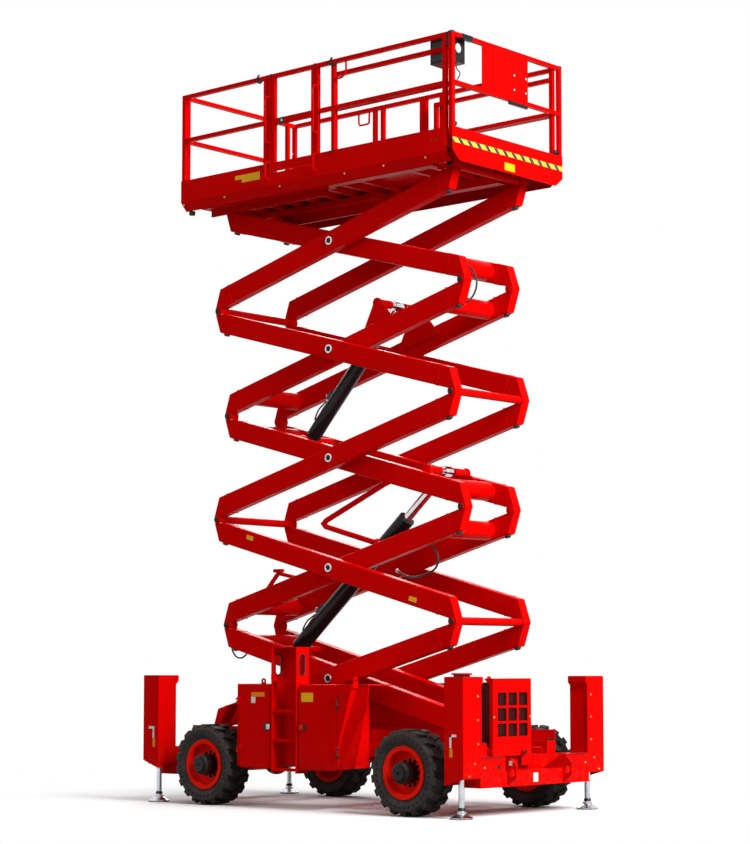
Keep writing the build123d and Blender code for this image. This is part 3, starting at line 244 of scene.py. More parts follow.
class Piece:
    """Mesh of many small forms that ride on one body."""

    def __init__(self):
        self.bm = bmesh.new()

    def box(self, lo, hi):
        centre = [(a + b) / 2 for a, b in zip(lo, hi)]
        size = [abs(b - a) for a, b in zip(lo, hi)]
        place = Matrix.Translation(centre) @ Matrix.Diagonal((*size, 1))
        bmesh.ops.create_cube(self.bm, size=1.0, matrix=place)

    def block(self, centre, size, turn):
        """Box of a size, turned about its centre."""
        place = Matrix.Translation(centre) @ turn @ Matrix.Diagonal((*size, 1))
        bmesh.ops.create_cube(self.bm, size=1.0, matrix=place)

    def disc(self, place, axis, r, high, sides=24):
        """Short round boss with a small chamfer, standing on a face."""
        rim = min(0.2 * r, 0.3 * high)
        self.lathe(place, axis, ((r, 0), (r, high - rim), (r - rim, high)), sides)

    def bolt(self, place, axis, r, high):
        """Hex head on a washer."""
        self.lathe(place, axis, ((r * 1.35, -0.002), (r * 1.35, high * 0.25)), 20)
        self.lathe(place, axis, ((r, high * 0.2), (r, high * 0.85), (r * 0.8, high)), 6)

    def lathe(self, place, axis, profile, sides=24):
        """Solid turned about an axis from (radius, height) points."""
        turn = Matrix.Translation(place) @ facing(axis)
        rings = []
        for r, h in profile:
            ring = []
            for i in range(sides):
                a = 2 * math.pi * i / sides
                ring.append(self.bm.verts.new(turn @ Vector((r * math.cos(a), r * math.sin(a), h))))
            rings.append(ring)
        for low, high in zip(rings, rings[1:]):
            for i in range(sides):
                j = (i + 1) % sides
                self.bm.faces.new((low[i], low[j], high[j], high[i]))
        self.bm.faces.new(rings[0][::-1])
        self.bm.faces.new(rings[-1])

    def tube(self, points, r, sides=12):
        """Round bar along points, mitred at the corners."""
        pts = [Vector(p) for p in points]
        rings = []
        for i, p in enumerate(pts):
            before = (p - pts[i - 1]).normalized() if i else (pts[1] - p).normalized()
            after = (pts[i + 1] - p).normalized() if i + 1 < len(pts) else before
            along = (before + after).normalized()
            side = along.cross(Vector((0.13, 0.37, 0.92))).normalized() if not rings else \
                (side - along * side.dot(along)).normalized()
            up = along.cross(side)
            grow = 1 / max(0.5, along.dot(before))
            ring = []
            for k in range(sides):
                a = 2 * math.pi * k / sides
                spoke = side * math.cos(a) + up * math.sin(a)
                ring.append(self.bm.verts.new(p + spoke * r * min(grow, 1.2)))
            rings.append(ring)
        for low, high in zip(rings, rings[1:]):
            for k in range(sides):
                j = (k + 1) % sides
                self.bm.faces.new((low[k], low[j], high[j], high[k]))
        self.bm.faces.new(rings[0][::-1])
        self.bm.faces.new(rings[-1])

    def done(self, name, look, body, edge=0.0015, smooth=True):
        bmesh.ops.recalc_face_normals(self.bm, faces=self.bm.faces[:])
        mesh = bpy.data.meshes.new(name)
        self.bm.to_mesh(mesh)
        self.bm.free()
        made = bpy.data.objects.new(name, mesh)
        bpy.context.scene.collection.objects.link(made)
        made.data.materials.append(MATERIALS[look])
        if edge:
            bevel = made.modifiers.new("edges", "BEVEL")
            bevel.width = edge
            bevel.segments = 2
            bevel.limit_method = "ANGLE"
        if smooth:
            for face in mesh.polygons:
                face.use_smooth = True
            mesh.set_sharp_from_angle(angle=math.radians(35))
        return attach(made, body)


def stripe():
    """Hazard stripe across the front fascia."""
    lo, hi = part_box("extension_deck")
    piece = Piece()
    piece.box((hi.x - 0.001, lo.y + 0.004, hi.z - 0.164), (hi.x + 0.0012, hi.y - 0.004, hi.z - 0.113))
    piece.done("hazard_band", "hazard", "extension", edge=0.0005)


# ------------------------------------------------------------------ scissor arms

PIN_X = 1.7                  # from the middle to the end joints
BASE_Z, LEVEL = 0.778, 1.18  # lowest joint, and the rise of one level
ARM = math.hypot(2 * PIN_X, LEVEL)
TILT = math.atan2(LEVEL, 2 * PIN_X)
AXIS_W = 0.125               # tube's axis above the line of its pins at the low end, below it at the high
TUBE = (0.120, 0.220)        # tube's width and depth
MIDS = {"inner": 0.4045, "outer": 0.564}
LEVELS = range(1, 6)
SEAM_U = 0.225               # weld seams lie this far from the joints
STOP_U = 0.16                # and the rubber stops this far from the high joint
NIPPLE_U = 0.075
CAP_Y = {"outer": 0.628, "inner": 0.468}
NIPPLE_Y = {"outer": 0.622, "inner": 0.463}
# (radius, height) profiles
RUBBER_STOP = ((0.034, 0), (0.034, 0.018), (0.026, 0.026))
PIN_CAP = {"outer": ((0.029, 0), (0.029, 0.018), (0.022, 0.025)),
           "inner": ((0.029, 0), (0.029, 0.020), (0.022, 0.027))}
NIPPLE = ((0.008, 0), (0.006, 0.012), (0.004, 0.017))
PIVOT_RING = ((0.047, 0), (0.047, 0.012), (0.044, 0.015), (0.034, 0.015), (0.033, 0.008))
PIVOT_FACE = ((0.030, 0), (0.030, 0.010), (0.027, 0.012), (0.009, 0.012), (0.008, 0.008))
PROP_Y = -0.300
PROP_R = 0.031
REST_Y = 0.305


def on_arm(kind, k, u, w, y):
    """Point u along an arm from its low joint and w above the line between its joints."""
    along = u * math.cos(TILT) - w * math.sin(TILT)
    rear_rising = (k % 2 == 1) == (kind == "inner")
    x = PIN_X - along if rear_rising else along - PIN_X
    return Vector((x, y, BASE_Z + (k - 1) * LEVEL + u * math.sin(TILT) + w * math.cos(TILT)))


def axis_w(u):
    return AXIS_W - 2 * AXIS_W * u / ARM


def arm_turn(kind, k):
    """Rotation with X along the tube."""
    x = (on_arm(kind, k, ARM, -AXIS_W, 0) - on_arm(kind, k, 0, AXIS_W, 0)).normalized()
    y = Vector((0, 1, 0))
    return Matrix((x, y, x.cross(y))).transposed().to_4x4()


def arm_trim():
    """Welded end sleeves, rubber stops, pin caps, grease nipples and pivot rings."""
    for k in LEVELS:
        for kind, mid in MIDS.items():
            body = f"{kind}_frame_{k}"
            turn = arm_turn(kind, k)
            seams, stops = Piece(), Piece()
            for side in (-1, 1):
                for u in (SEAM_U, ARM - SEAM_U):
                    centre = on_arm(kind, k, u, axis_w(u), side * mid)
                    seams.block(centre, (0.010, TUBE[0] + 0.005, TUBE[1] + 0.006), turn)
                u = ARM - STOP_U
                low = on_arm(kind, k, u, axis_w(u) - TUBE[1] / 2 + 0.002, side * mid)
                down = (on_arm(kind, k, 1, -1, 0) - on_arm(kind, k, 1, 0, 0)).normalized()
                stops.lathe(low, down, RUBBER_STOP, 24)
            seams.done(f"end_seams_{kind}_{k}", "red", body)
            stops.done(f"rubber_stops_{kind}_{k}", "pad", body, edge=0.0)
        for kind, start in (("outer", ""), ("inner", "inner_")):
            if kind == "inner" and k == LEVELS[-1]:
                continue
            caps, nipples = Piece(), Piece()
            for side in (-1, 1):
                out = (0, side, 0)
                caps.lathe(on_arm(kind, k, ARM, 0, side * CAP_Y[kind]), out, PIN_CAP[kind])
                place = on_arm(kind, k, ARM - NIPPLE_U, -0.02, side * NIPPLE_Y[kind])
                nipples.lathe(place, out, NIPPLE, 10)
            caps.done(f"{start}pin_caps_{k}", "black", f"{kind}_frame_{k}", edge=0.0)
            nipples.done(f"{start}grease_nipples_{k}", "brass", f"{kind}_frame_{k}", edge=0.0)
        rings, faces = Piece(), Piece()
        for side in (-1, 1):
            hub = on_arm("inner", k, ARM / 2, 0, side * CAP_Y["outer"])
            rings.lathe(hub, (0, side, 0), PIVOT_RING, 32)
            faces.lathe(hub, (0, side, 0), PIVOT_FACE, 24)
        rings.done(f"pivot_rings_{k}", "zinc", f"inner_frame_{k}", edge=0.0)
        faces.done(f"pivot_faces_{k}", "black", f"inner_frame_{k}", edge=0.0)
    labels = Piece()
    turn = arm_turn("outer", 2)
    for side in (-1, 1):
        for u, w in ((3.04, -0.045), (0.57, 0.045)):
            labels.block(on_arm("outer", 2, u, w, side * 0.6245), (0.105, 0.002, 0.048), turn)
    labels.done("arm_labels", "yellow", "outer_frame_2", edge=0.0)
    bracket = Piece()
    for side in (-1, 1):
        y = side * REST_Y
        bracket.tube(((-1.27, y, 2.30), (-1.05, y, 2.53)), 0.026, 8)
        bracket.tube(((-1.06, y, 2.525), (-0.62, y, 2.44)), 0.022, 8)
        bracket.box((-1.11, y - 0.028, 2.535), (-0.99, y + 0.028, 2.572))
        for x, z in ((-1.26, 2.30), (-0.64, 2.44)):
            bracket.box((x - 0.03, y - 0.01, z - 0.03), (x + 0.03, side * 0.352, z + 0.03))
    bracket.done("prop_rests", "red", "inner_frame_2", edge=0.002)
    prop = Piece()
    y = PROP_Y
    prop.box((0.56, -0.352, 3.44), (0.64, y, 3.50))
    prop.tube(((0.62, y, 3.475), (0.50, y, 3.435), (-0.33, y, 3.085), (-0.375, y, 3.05), (-0.34, y, 3.015),
               (0.36, y, 2.82), (0.42, y, 2.83)), PROP_R)
    prop.done("safety_prop", "red", "inner_frame_3", edge=0.0)


# ------------------------------------------------------------------ wheels

WHEELS = {"front": 1.488, "rear": -1.366}
AXLE_Z = 0.435
LUGS = 12
LUG_RING = 0.132
HOLES = 36
HOLE_RING = 0.345
CAP_RIM = ((0.056, 0), (0.056, 0.003), (0.046, 0.004), (0.044, 0.002))
CAP_HEX = ((0.020, 0), (0.020, 0.003), (0.014, 0.004))


def wheel_trim():
    """Lug nuts, the hub's end cap, and dark discs round each sidewall, painted shade in its holes."""
    for end, x in WHEELS.items():
        for hand, side in (("left", 1), ("right", -1)):
            out = (0, side, 0)
            body = f"wheel_{end}_{hand}"
            nuts, holes, cap = Piece(), Piece(), Piece()
            for i in range(LUGS):
                a = 2 * math.pi * i / LUGS
                place = (x + LUG_RING * math.cos(a), side * 1.032, AXLE_Z + LUG_RING * math.sin(a))
                nuts.bolt(place, out, 0.014, 0.026)
            for i in range(HOLES):
                a = 2 * math.pi * (i + 0.5) / HOLES
                place = (x + HOLE_RING * math.cos(a), side * 1.150, AXLE_Z + HOLE_RING * math.sin(a))
                # dark discs: painted shade in the sidewall's holes
                holes.disc(place, out, 0.0115, 0.0155, 12)
            cap.lathe((x, side * 1.218, AXLE_Z), out, CAP_RIM, 32)
            cap.lathe((x, side * 1.218, AXLE_Z), out, CAP_HEX, 6)
            nuts.done(f"lug_nuts_{end}_{hand}", "black", body, edge=0.0)
            holes.done(f"sidewall_hole_shade_{end}_{hand}", "hole_shade", body, edge=0.0)
            cap.done(f"hub_cap_{end}_{hand}", "black", body, edge=0.0)


# ------------------------------------------------------------------ cabinets

DOOR_Y = 1.150
SKIN_Y = 1.148
HINGE_PIN_Y = 1.158
LATCHES = (("rear", -0.398, (-0.008, 0.040), "white"), ("front", 0.110, (-0.040, 0.010), "rim"))
LATCH_HALF_W = 0.047
LATCH_Z = (0.826, 0.896)
PADDLE_IN = 0.008            # a paddle is this much lower than its plate, above and below
PANEL_SCREWS = ((0.671, 1.194), (0.686, 0.491), (-0.86, 0.60), (-0.86, 1.15))
LABEL_T = 0.0015
HOLE_X = (-0.317, 0.035)     # front faces of the ladder's two sides
HOLE_MIDDLE = (-1.071, 1.515)
HOLE_R = 0.042
HOLE_TALL = 0.220
HINGE_X = 0.606
HINGE_Z = (0.606, 1.117)


def slot_rim(piece, place, across, r, tall, thick):
    """Rounded rim of an upright handhole; across points along its narrow way."""
    path = []
    for i in range(33):
        a = 2 * math.pi * i / 32
        rise = (tall / 2 - r) * (1 if math.sin(a) > 0 else -1) + r * math.sin(a)
        path.append(Vector(place) + Vector(across) * (r * math.cos(a)) + Vector((0, 0, rise)))
    piece.tube(path, thick, 8)


def cabinet_trim():
    """Door latches, hinges, blank labels and screws on both sides."""
    for hand, side in (("left", 1), ("right", -1)):
        y = side * DOOR_Y
        rear, front = f"door_{hand}_rear", f"door_{hand}_front"
        low, high = LATCH_Z
        for end, x, reach, look in LATCHES:
            body = f"door_{hand}_{end}"
            plate, face = Piece(), Piece()
            plate.box((x - LATCH_HALF_W, y - side * 0.002, low), (x + LATCH_HALF_W, y + side * 0.010, high))
            face.box((x + reach[0], y, low + PADDLE_IN), (x + reach[1], y + side * 0.013, high - PADDLE_IN))
            plate.done(f"latch_plate_{body}", "black", body, edge=0.003)
            face.done(f"latch_paddle_{body}", look, body, edge=0.003)
        pins = Piece()
        for z in HINGE_Z:
            pins.lathe((HINGE_X, side * HINGE_PIN_Y, z - 0.055), (0, 0, 1), ((0.009, 0), (0.009, 0.110)), 12)
            for dz in (-0.04, 0.0, 0.04):
                low, high = z + dz - 0.010, z + dz + 0.010
                pins.box((HINGE_X - 0.022, y, low), (HINGE_X + 0.022, y + side * 0.007, high))
        pins.done(f"hinge_knuckles_{hand}", "black", "chassis")
        screws = Piece()
        for x, z in PANEL_SCREWS:
            screws.disc((x, side * SKIN_Y, z), (0, side, 0), 0.010, 0.007, 12)
        screws.done(f"panel_screws_{hand}", "black", "chassis", edge=0.0)
        for name, look, body, lo, hi in (
                ("rear_top", "orange", rear, (-0.636, 1.176), (-0.440, 1.222)),
                ("rear_low", "white", rear, (-0.636, 1.108), (-0.576, 1.173)),
                ("front", "yellow", front, (0.096, 1.128), (0.262, 1.222))):
            label = Piece()
            label.box((lo[0], y, lo[1]), (hi[0], y + side * LABEL_T, hi[1]))
            label.done(f"label_{name}_{hand}", look, body, edge=0.0)
    rims = Piece()
    for x in HOLE_X:
        slot_rim(rims, (x, *HOLE_MIDDLE), (0, 1, 0), HOLE_R, HOLE_TALL, 0.007)
    rims.done("handhole_rims", "pad", "chassis", edge=0.0)


# ------------------------------------------------------------------ lift cylinders

def cylinder_trim():
    """Valve block, fittings and short hoses low on each barrel."""
    for name in ("lower", "upper"):
        body = f"{name}_barrel"
        lo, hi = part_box(body)
        start = Vector((lo.x + 0.085, 0, lo.z + 0.085))
        along = (Vector((hi.x - 0.07, 0, hi.z - 0.07)) - start).normalized()
        off = Vector((-along.z, 0, along.x))
        turn = Matrix((along, (0, 1, 0), -off)).transposed().to_4x4()
        block, nuts = Piece(), Piece()
        spot = start + along * 0.52 + off * 0.095
        block.block(spot, (0.110, 0.070, 0.050), turn)
        block.lathe(spot + along * 0.05, along, ((0.020, 0), (0.020, 0.045), (0.014, 0.055)), 16)
        for dy in (-0.02, 0.02):
            top = spot + off * 0.022 + Vector((0, dy, 0)) - along * 0.03
            back = spot - along * 0.05 + Vector((0, dy, 0))
            nuts.lathe(top, off, ((0.016, 0), (0.016, 0.020), (0.010, 0.030)), 6)
            nuts.lathe(back, -along, ((0.015, 0), (0.015, 0.022), (0.011, 0.030)), 6)
        block.done(f"{name}_valve_block", "iron", body, edge=0.002)
        nuts.done(f"{name}_valve_nuts", "zinc", body, edge=0.0)
        for i, dy in enumerate((-0.02, 0.02)):
            side = Vector((0, dy, 0))
            reach = 0.10 + 0.06 * i
            route = (spot - along * 0.07 + side, spot - along * 0.15 + off * 0.02 + side,
                     spot - along * 0.24 + off * 0.03 + side * 1.6,
                     spot - along * (0.24 + reach) - off * 0.005 + side * 1.4)
            hose(f"{name}_feed_hose_{i}", route, 0.009, body)


# ------------------------------------------------------------------ outriggers

HOUSE_X = (2.05, 2.29)       # outrigger housings
HOUSE_Y = (0.886, 1.175)
SEAL_Z = (1.389, 1.3965)
LEG = (2.165, 1.048)
COLLAR_Z = 0.085
TANK = (2.165, -1.04, 1.392)
STICKER_X = 2.128
STICKER_T = 0.0012
HOUSE_SCREWS = ((0.947, 0.735), (0.947, 0.970), (0.947, 1.203), (0.998, 0.544), (1.083, 0.422))
SCREW_X = 2.2895
FOOT_COLLAR = ((0.040, 0), (0.040, 0.010), (0.036, 0.016), (0.030, 0.030))


def outrigger_trim():
    """Lid caps, blank labels, screws, and the collar above each foot."""
    bands, whites, oranges, screws = Piece(), Piece(), Piece(), Piece()
    for sx in (-1, 1):
        for side in (-1, 1):
            x0, x1 = sorted((sx * HOUSE_X[0], sx * HOUSE_X[1]))
            y0, y1 = sorted((side * HOUSE_Y[0], side * HOUSE_Y[1]))
            bands.box((x0 + 0.004, y0 + 0.02, SEAL_Z[0]), (x1 - 0.004, y1 - 0.004, SEAL_Z[1]))
            x, face = sx * STICKER_X, side * HOUSE_Y[1]
            proud = face + side * STICKER_T
            whites.box((x - 0.012, face, 0.700), (x + 0.012, proud, 0.832))
            whites.box((x - 0.012, face, 0.806), (x + sx * 0.075, proud, 0.832))
            oranges.box((x - 0.012, face, 0.608), (x + 0.024, proud, 0.696))
            for y, z in HOUSE_SCREWS:
                screws.bolt((sx * SCREW_X, side * y, z), (sx, 0, 0), 0.008, 0.012)
    bands.done("housing_lid_seals", "pad", "chassis", edge=0.0)
    whites.done("housing_labels_white", "white", "chassis", edge=0.0)
    oranges.done("housing_labels_orange", "orange", "chassis", edge=0.0)
    screws.done("housing_screws", "brass", "chassis", edge=0.0)
    seal, lid = Piece(), Piece()
    seal.lathe(TANK, (0, 0, 1), ((0.082, 0), (0.082, 0.024)), 28)
    lid.lathe(TANK, (0, 0, 1), ((0.100, 0.022), (0.104, 0.026), (0.104, 0.036), (0.098, 0.041)), 28)
    seal.done("tank_neck", "pad", "chassis", edge=0.0)
    lid.done("tank_lid", "red", "chassis", edge=0.0)
    for end, sx in (("front", 1), ("rear", -1)):
        for hand, side in (("left", 1), ("right", -1)):
            collar = Piece()
            collar.lathe((sx * LEG[0], side * LEG[1], COLLAR_Z), (0, 0, 1), FOOT_COLLAR, 24)
            collar.done(f"foot_collar_{end}_{hand}", "black", f"leg_{end}_{hand}", edge=0.0)


# ------------------------------------------------------------------ front

BEAM_X = 2.2892              # just behind the front beam's face


def front_trim():
    """Bolts, blank stickers, and dark sheets and discs on the front, painted shade in its slots, vents and
    holes.
    """
    bolts, dark, white = Piece(), Piece(), Piece()
    ahead = (1, 0, 0)
    for side in (-1, 1):
        bolts.bolt((SCREW_X, side * 0.842, 0.498), ahead, 0.009, 0.012)
        # dark sheets and discs: painted shade in the front's slots, vents and holes
        dark.box((2.032, side * 0.505, 0.697), (2.038, side * 0.655, 0.744))
        dark.disc((BEAM_X, side * 0.612, 0.500), ahead, 0.021, 0.0022, 28)
        dark.disc((BEAM_X, side * 0.704, 0.492), ahead, 0.009, 0.0022, 16)
        dark.box((2.284, side * 0.55, 0.588), (2.2915, side * 0.86, 0.5965))
    white.box((2.312, -0.4762, 0.510), (2.350, -0.4748, 0.556))
    for y in (-0.448, 0.150):
        bolts.bolt((2.0995, y, 0.985), ahead, 0.008, 0.010)
    dark.lathe((2.148, 0.013, 0.628), ahead, ((0.020, 0), (0.020, 0.0022)), 24)
    white.box((2.290, -0.051, 0.332), (2.2912, 0.030, 0.424))
    bolts.done("front_bolts", "brass", "chassis", edge=0.0)
    dark.done("front_opening_shade", "hole_shade", "chassis", edge=0.0)
    white.done("front_labels", "white", "chassis", edge=0.0)


# ------------------------------------------------------------------ platform

RAIL_Y = 0.928               # outer face of the side rails
TOE_Y = 0.933                # outer face of the toe boards
HOOK_R = 0.044
HOOK = (-0.938, 7.938)       # y and z of a hook's middle
HOOKS_X = (-0.752, 0.338)
BAR_R = 0.011
GATE_GRIP_Y = (-0.925, -0.988)
RING = (0.905, 7.612)        # y and z of the tether ring's middle
RING_R = 0.022


def bow(x, low, high, out):
    """Points of a U handle; out gives the y of its feet and the y of its grip."""
    y0, y1 = out
    c = min(0.03, abs(y1 - y0) * 0.8)
    s = 1 if y1 > y0 else -1
    return ((x, y0, low), (x, y1 - s * c, low), (x, y1 - s * c * 0.3, low + c * 0.3),
            (x, y1, low + c), (x, y1, high - c), (x, y1 - s * c * 0.3, high - c * 0.3),
            (x, y1 - s * c, high), (x, y0, high))


def platform_trim():
    """Rail caps, handles, hooks, gate latch, labels, rivets, rollers and the control box's knobs."""
    black, red, brass, yellow, zinc = Piece(), Piece(), Piece(), Piece(), Piece()
    for x in (-0.595, 0.059):
        black.box((x - 0.008, -RAIL_Y - 0.003, 7.912), (x + 0.006, -RAIL_Y + 0.047, 7.969))
    for x, low, high in ((-0.62, 7.205, 7.715), (-0.62, 6.800, 6.985),
                         (0.094, 7.205, 7.720), (0.094, 6.795, 6.970)):
        red.tube(bow(x, low, high, GATE_GRIP_Y), BAR_R, 10)
    red.tube(((0.505, -0.918, 7.94), (0.508, -0.918, 7.83), (0.490, -0.918, 7.775), (0.440, -0.918, 7.748),
              (0.340, -0.918, 7.745)), BAR_R, 10)
    red.tube(((-0.94, 0.905, 7.93), (-0.94, 0.905, 7.81), (-0.92, 0.905, 7.785), (-0.80, 0.905, 7.785),
              (-0.78, 0.905, 7.80), (-0.775, 0.905, 7.93)), BAR_R, 10)
    for x in HOOKS_X:
        hook = []
        for i in range(13):
            a = math.radians(105 + 20 * i)
            hook.append((x + HOOK_R * math.cos(a), HOOK[0], HOOK[1] + HOOK_R * math.sin(a)))
        black.tube(hook, BAR_R, 8)
    for y in (-0.80, 0.80):
        black.lathe((-1.955, y, 6.600), (0, 0, 1), ((0.030, 0), (0.036, 0.008), (0.036, 0.045)), 20)
    black.box((1.884, -0.922, 7.82), (1.926, -0.892, 7.966))
    for x in (-0.975, 0.9, 1.2):
        for side in (-1, 1):
            black.box((x - 0.01, side * 0.9275, 7.425), (x + 0.01, side * 0.9290, 7.455))
    for x, z in ((-0.631, 6.944), (-0.713, 6.905), (-0.745, 6.952), (0.291, 6.966), (0.351, 6.970)):
        for side in (-1, 1):
            black.bolt((x, side * TOE_Y, z), (0, side, 0), 0.010, 0.014)
    for x in (-1.95, -1.30, -0.45, 0.5, 1.05, 1.62):
        for side in (-1, 1):
            brass.bolt((x, side * TOE_Y, 6.700), (0, side, 0), 0.008, 0.009)
    for lo, hi in (((-1.134, 6.862), (-0.756, 6.908)), ((-1.030, 6.822), (-0.756, 6.863))):
        yellow.box((lo[0], -0.9354, lo[1]), (hi[0], -0.9338, hi[1]))
    black.done("platform_fittings", "black", "platform", edge=0.0)
    red.done("platform_handles", "red", "platform", edge=0.0)
    brass.done("toe_board_bolts", "brass", "platform", edge=0.0)
    yellow.done("toe_board_labels", "yellow", "platform", edge=0.0)
    ring = []
    for i in range(17):
        a = i * math.pi / 8
        ring.append((-1.985, RING[0] + RING_R * math.cos(a), RING[1] + RING_R * math.sin(a)))
    zinc.tube(ring, 0.005, 8)
    zinc.done("tether_ring", "zinc", "platform", edge=0.0)
    latch, pin = Piece(), Piece()
    latch.box((-0.470, -0.9285, 7.395), (-0.385, -0.905, 7.462))
    pin.disc((-0.43, -0.9275, 7.428), (0, -1, 0), 0.014, 0.006)
    latch.done("gate_latch", "black", "gate", edge=0.003)
    pin.done("gate_latch_pin", "white", "gate", edge=0.0)
    front, rivets, ends, rollers, tag = Piece(), Piece(), Piece(), Piece(), Piece()
    for y in (0.093, 0.293):
        for z in (7.545, 7.699):
            rivets.disc((1.9795, y, z), (1, 0, 0), 0.010, 0.004, 14)
    for i in range(6):
        front.box((1.9255, -0.770 + 0.030 * i, 7.9145), (1.9775, -0.743 + 0.030 * i, 7.9675))
    front.box((1.928, -0.768, 7.917), (1.975, -0.592, 7.965))
    front.box((1.946, 0.03, 7.385), (1.968, 0.34, 7.418))
    for side in (-1, 1):
        ends.box((1.927, side * 0.887, 7.950), (1.976, side * 0.936, 7.9675))
    for x in (1.70, 1.76):
        ends.disc((x, -0.932, 6.863), (0, -1, 0), 0.010, 0.004, 14)
    for y in (-0.86, 0.86):
        rollers.lathe((1.935, y - 0.03, 7.02), (0, 1, 0),
                      ((0.022, 0), (0.026, 0.006), (0.026, 0.054), (0.022, 0.06)), 20)
    tag.box((1.9795, -0.078, 6.662), (1.9812, 0.093, 6.742))
    rivets.done("sign_rivets", "white", "extension", edge=0.0)
    front.done("front_rail_sleeve", "black", "extension", edge=0.0)
    ends.done("post_end_caps", "pad", "extension", edge=0.0)
    rollers.done("extension_rollers", "pad", "extension", edge=0.0)
    tag.done("front_label", "yellow", "extension", edge=0.0)
    box_low, box_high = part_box("control_box")
    knobs, keys, lid = Piece(), Piece(), Piece()
    middle = (box_low.y + box_high.y) / 2
    for dy, knob in ((-0.045, knobs), (0.045, keys)):
        knob.lathe((box_low.x + 0.12, middle + dy, box_high.z - 0.002), (0, 0, 1),
                   ((0.016, 0), (0.016, 0.010), (0.012, 0.012)), 20)
    lid.box((box_low.x + 0.02, box_low.y - 0.002, box_low.z + 0.03),
            (box_high.x - 0.02, box_low.y + 0.001, box_high.z - 0.03))
    knobs.done("stop_button", "rim", "extension", edge=0.0)
    keys.done("control_knob", "pad", "extension", edge=0.0)
    lid.done("control_box_panel", "pad", "extension", edge=0.0)


# ------------------------------------------------------------------ hoses

def hose(name, points, r, body):
    """Hydraulic hose or cable held at both ends, along the smooth line that its points steer."""
    curve = bpy.data.curves.new(name, "CURVE")
    curve.dimensions = "3D"
    line = curve.splines.new("NURBS")
    line.points.add(len(points) - 1)
    for point, place in zip(line.points, points):
        point.co = (*place, 1)
    line.order_u = 3
    line.use_endpoint_u = True
    curve.resolution_u = 10
    made = bpy.data.objects.new(name, curve)
    bpy.context.scene.collection.objects.link(made)
    run = bpy.data.meshes.new_from_object(made)
    bpy.data.meshes.remove(run)
    curve.bevel_depth = r
    curve.bevel_resolution = 3
    curve.use_fill_caps = True
    curve.materials.append(MATERIALS["hose"])
    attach(made, body)
    return made


def fitting(piece, place, along, r):
    """Crimped hose end with its nut."""
    piece.lathe(place, along, ((r * 1.5, -0.012), (r * 1.5, 0.028), (r * 1.25, 0.032)), 16)
    piece.lathe(place, along, ((r * 1.9, -0.014), (r * 1.9, 0.004)), 6)


def hoses():
    """Hoses round the joints and at the cylinders, and the control cable."""
    y = -0.333
    hose("joint_hose", ((1.44, y, 5.70), (1.56, y, 5.715), (1.73, y, 5.64), (1.825, y, 5.47), (1.76, y, 5.31),
                        (1.60, y, 5.235), (1.42, y, 5.27)), 0.010, "inner_frame_5")
    hose("tube_hose", ((1.02, y, 2.86), (1.10, y, 2.80), (1.26, y, 2.72), (1.29, y, 2.56),
                       (1.15, y + 0.04, 2.47), (0.86, -0.22, 2.43), (0.62, -0.12, 2.46),
                       (0.50, -0.085, 2.52)), 0.011, "inner_frame_2")
    hose("rear_hose", ((-1.60, y, 1.85), (-1.715, y, 1.82), (-1.765, y, 1.70), (-1.68, y, 1.585),
                       (-1.54, y, 1.59), (-1.45, -0.340, 1.70)), 0.010, "inner_frame_1")
    hose("control_cable", ((1.85, -0.72, 7.695), (1.85, -0.72, 7.63), (1.93, -0.74, 7.57),
                           (1.955, -0.80, 7.50), (1.93, -0.868, 7.42), (1.915, -0.884, 7.30),
                           (1.915, -0.884, 7.12), (1.915, -0.884, 6.985)), 0.006, "extension")
    # hose, its body, and the place and direction of each end
    held = (
        ("joint_hose", "inner_frame_5", ((1.45, y, 5.700), (1, 0, 0.1)), ((1.44, y, 5.268), (1, 0, -0.2))),
        ("tube_hose", "inner_frame_2", ((1.03, y, 2.853), (1, 0, -0.7)),
         ((0.505, -0.088, 2.517), (1, -0.3, -0.5))),
        ("rear_hose", "inner_frame_1", ((-1.61, y, 1.846), (-1, 0, -0.3)),
         ((-1.455, -0.340, 1.692), (-1, 0, -1.2))),
    )
    for name, body, *spots in held:
        ends = Piece()
        for place, along in spots:
            fitting(ends, place, along, 0.011)
        ends.done(f"{name}_ends", "zinc", body, edge=0.0)


# ------------------------------------------------------------------ studio

def camera():
    data = bpy.data.cameras.new("photo_view")
    made = bpy.data.objects.new("photo_view", data)
    bpy.context.scene.collection.objects.link(made)
    made.location = (15.9626, -18.0012, 1.5334)
    turn, tilt = math.radians(41.3716), math.radians(4.5)
    ahead = Vector((-math.sin(turn) * math.cos(tilt), math.cos(turn) * math.cos(tilt), math.sin(tilt)))
    made.rotation_euler = ahead.to_track_quat("-Z", "Y").to_euler()
    data.lens = 94.113
    data.sensor_width = 36
    data.shift_y = 0.0796
    data.clip_end = 400
    bpy.context.scene.camera = made


FLOOR_FADE = (2.6, 4.6)      # distance from the middle over which the lit floor turns to plain white
FLOOR_GREY = (0.34, 0.34, 0.34)      # how much light the floor throws back up


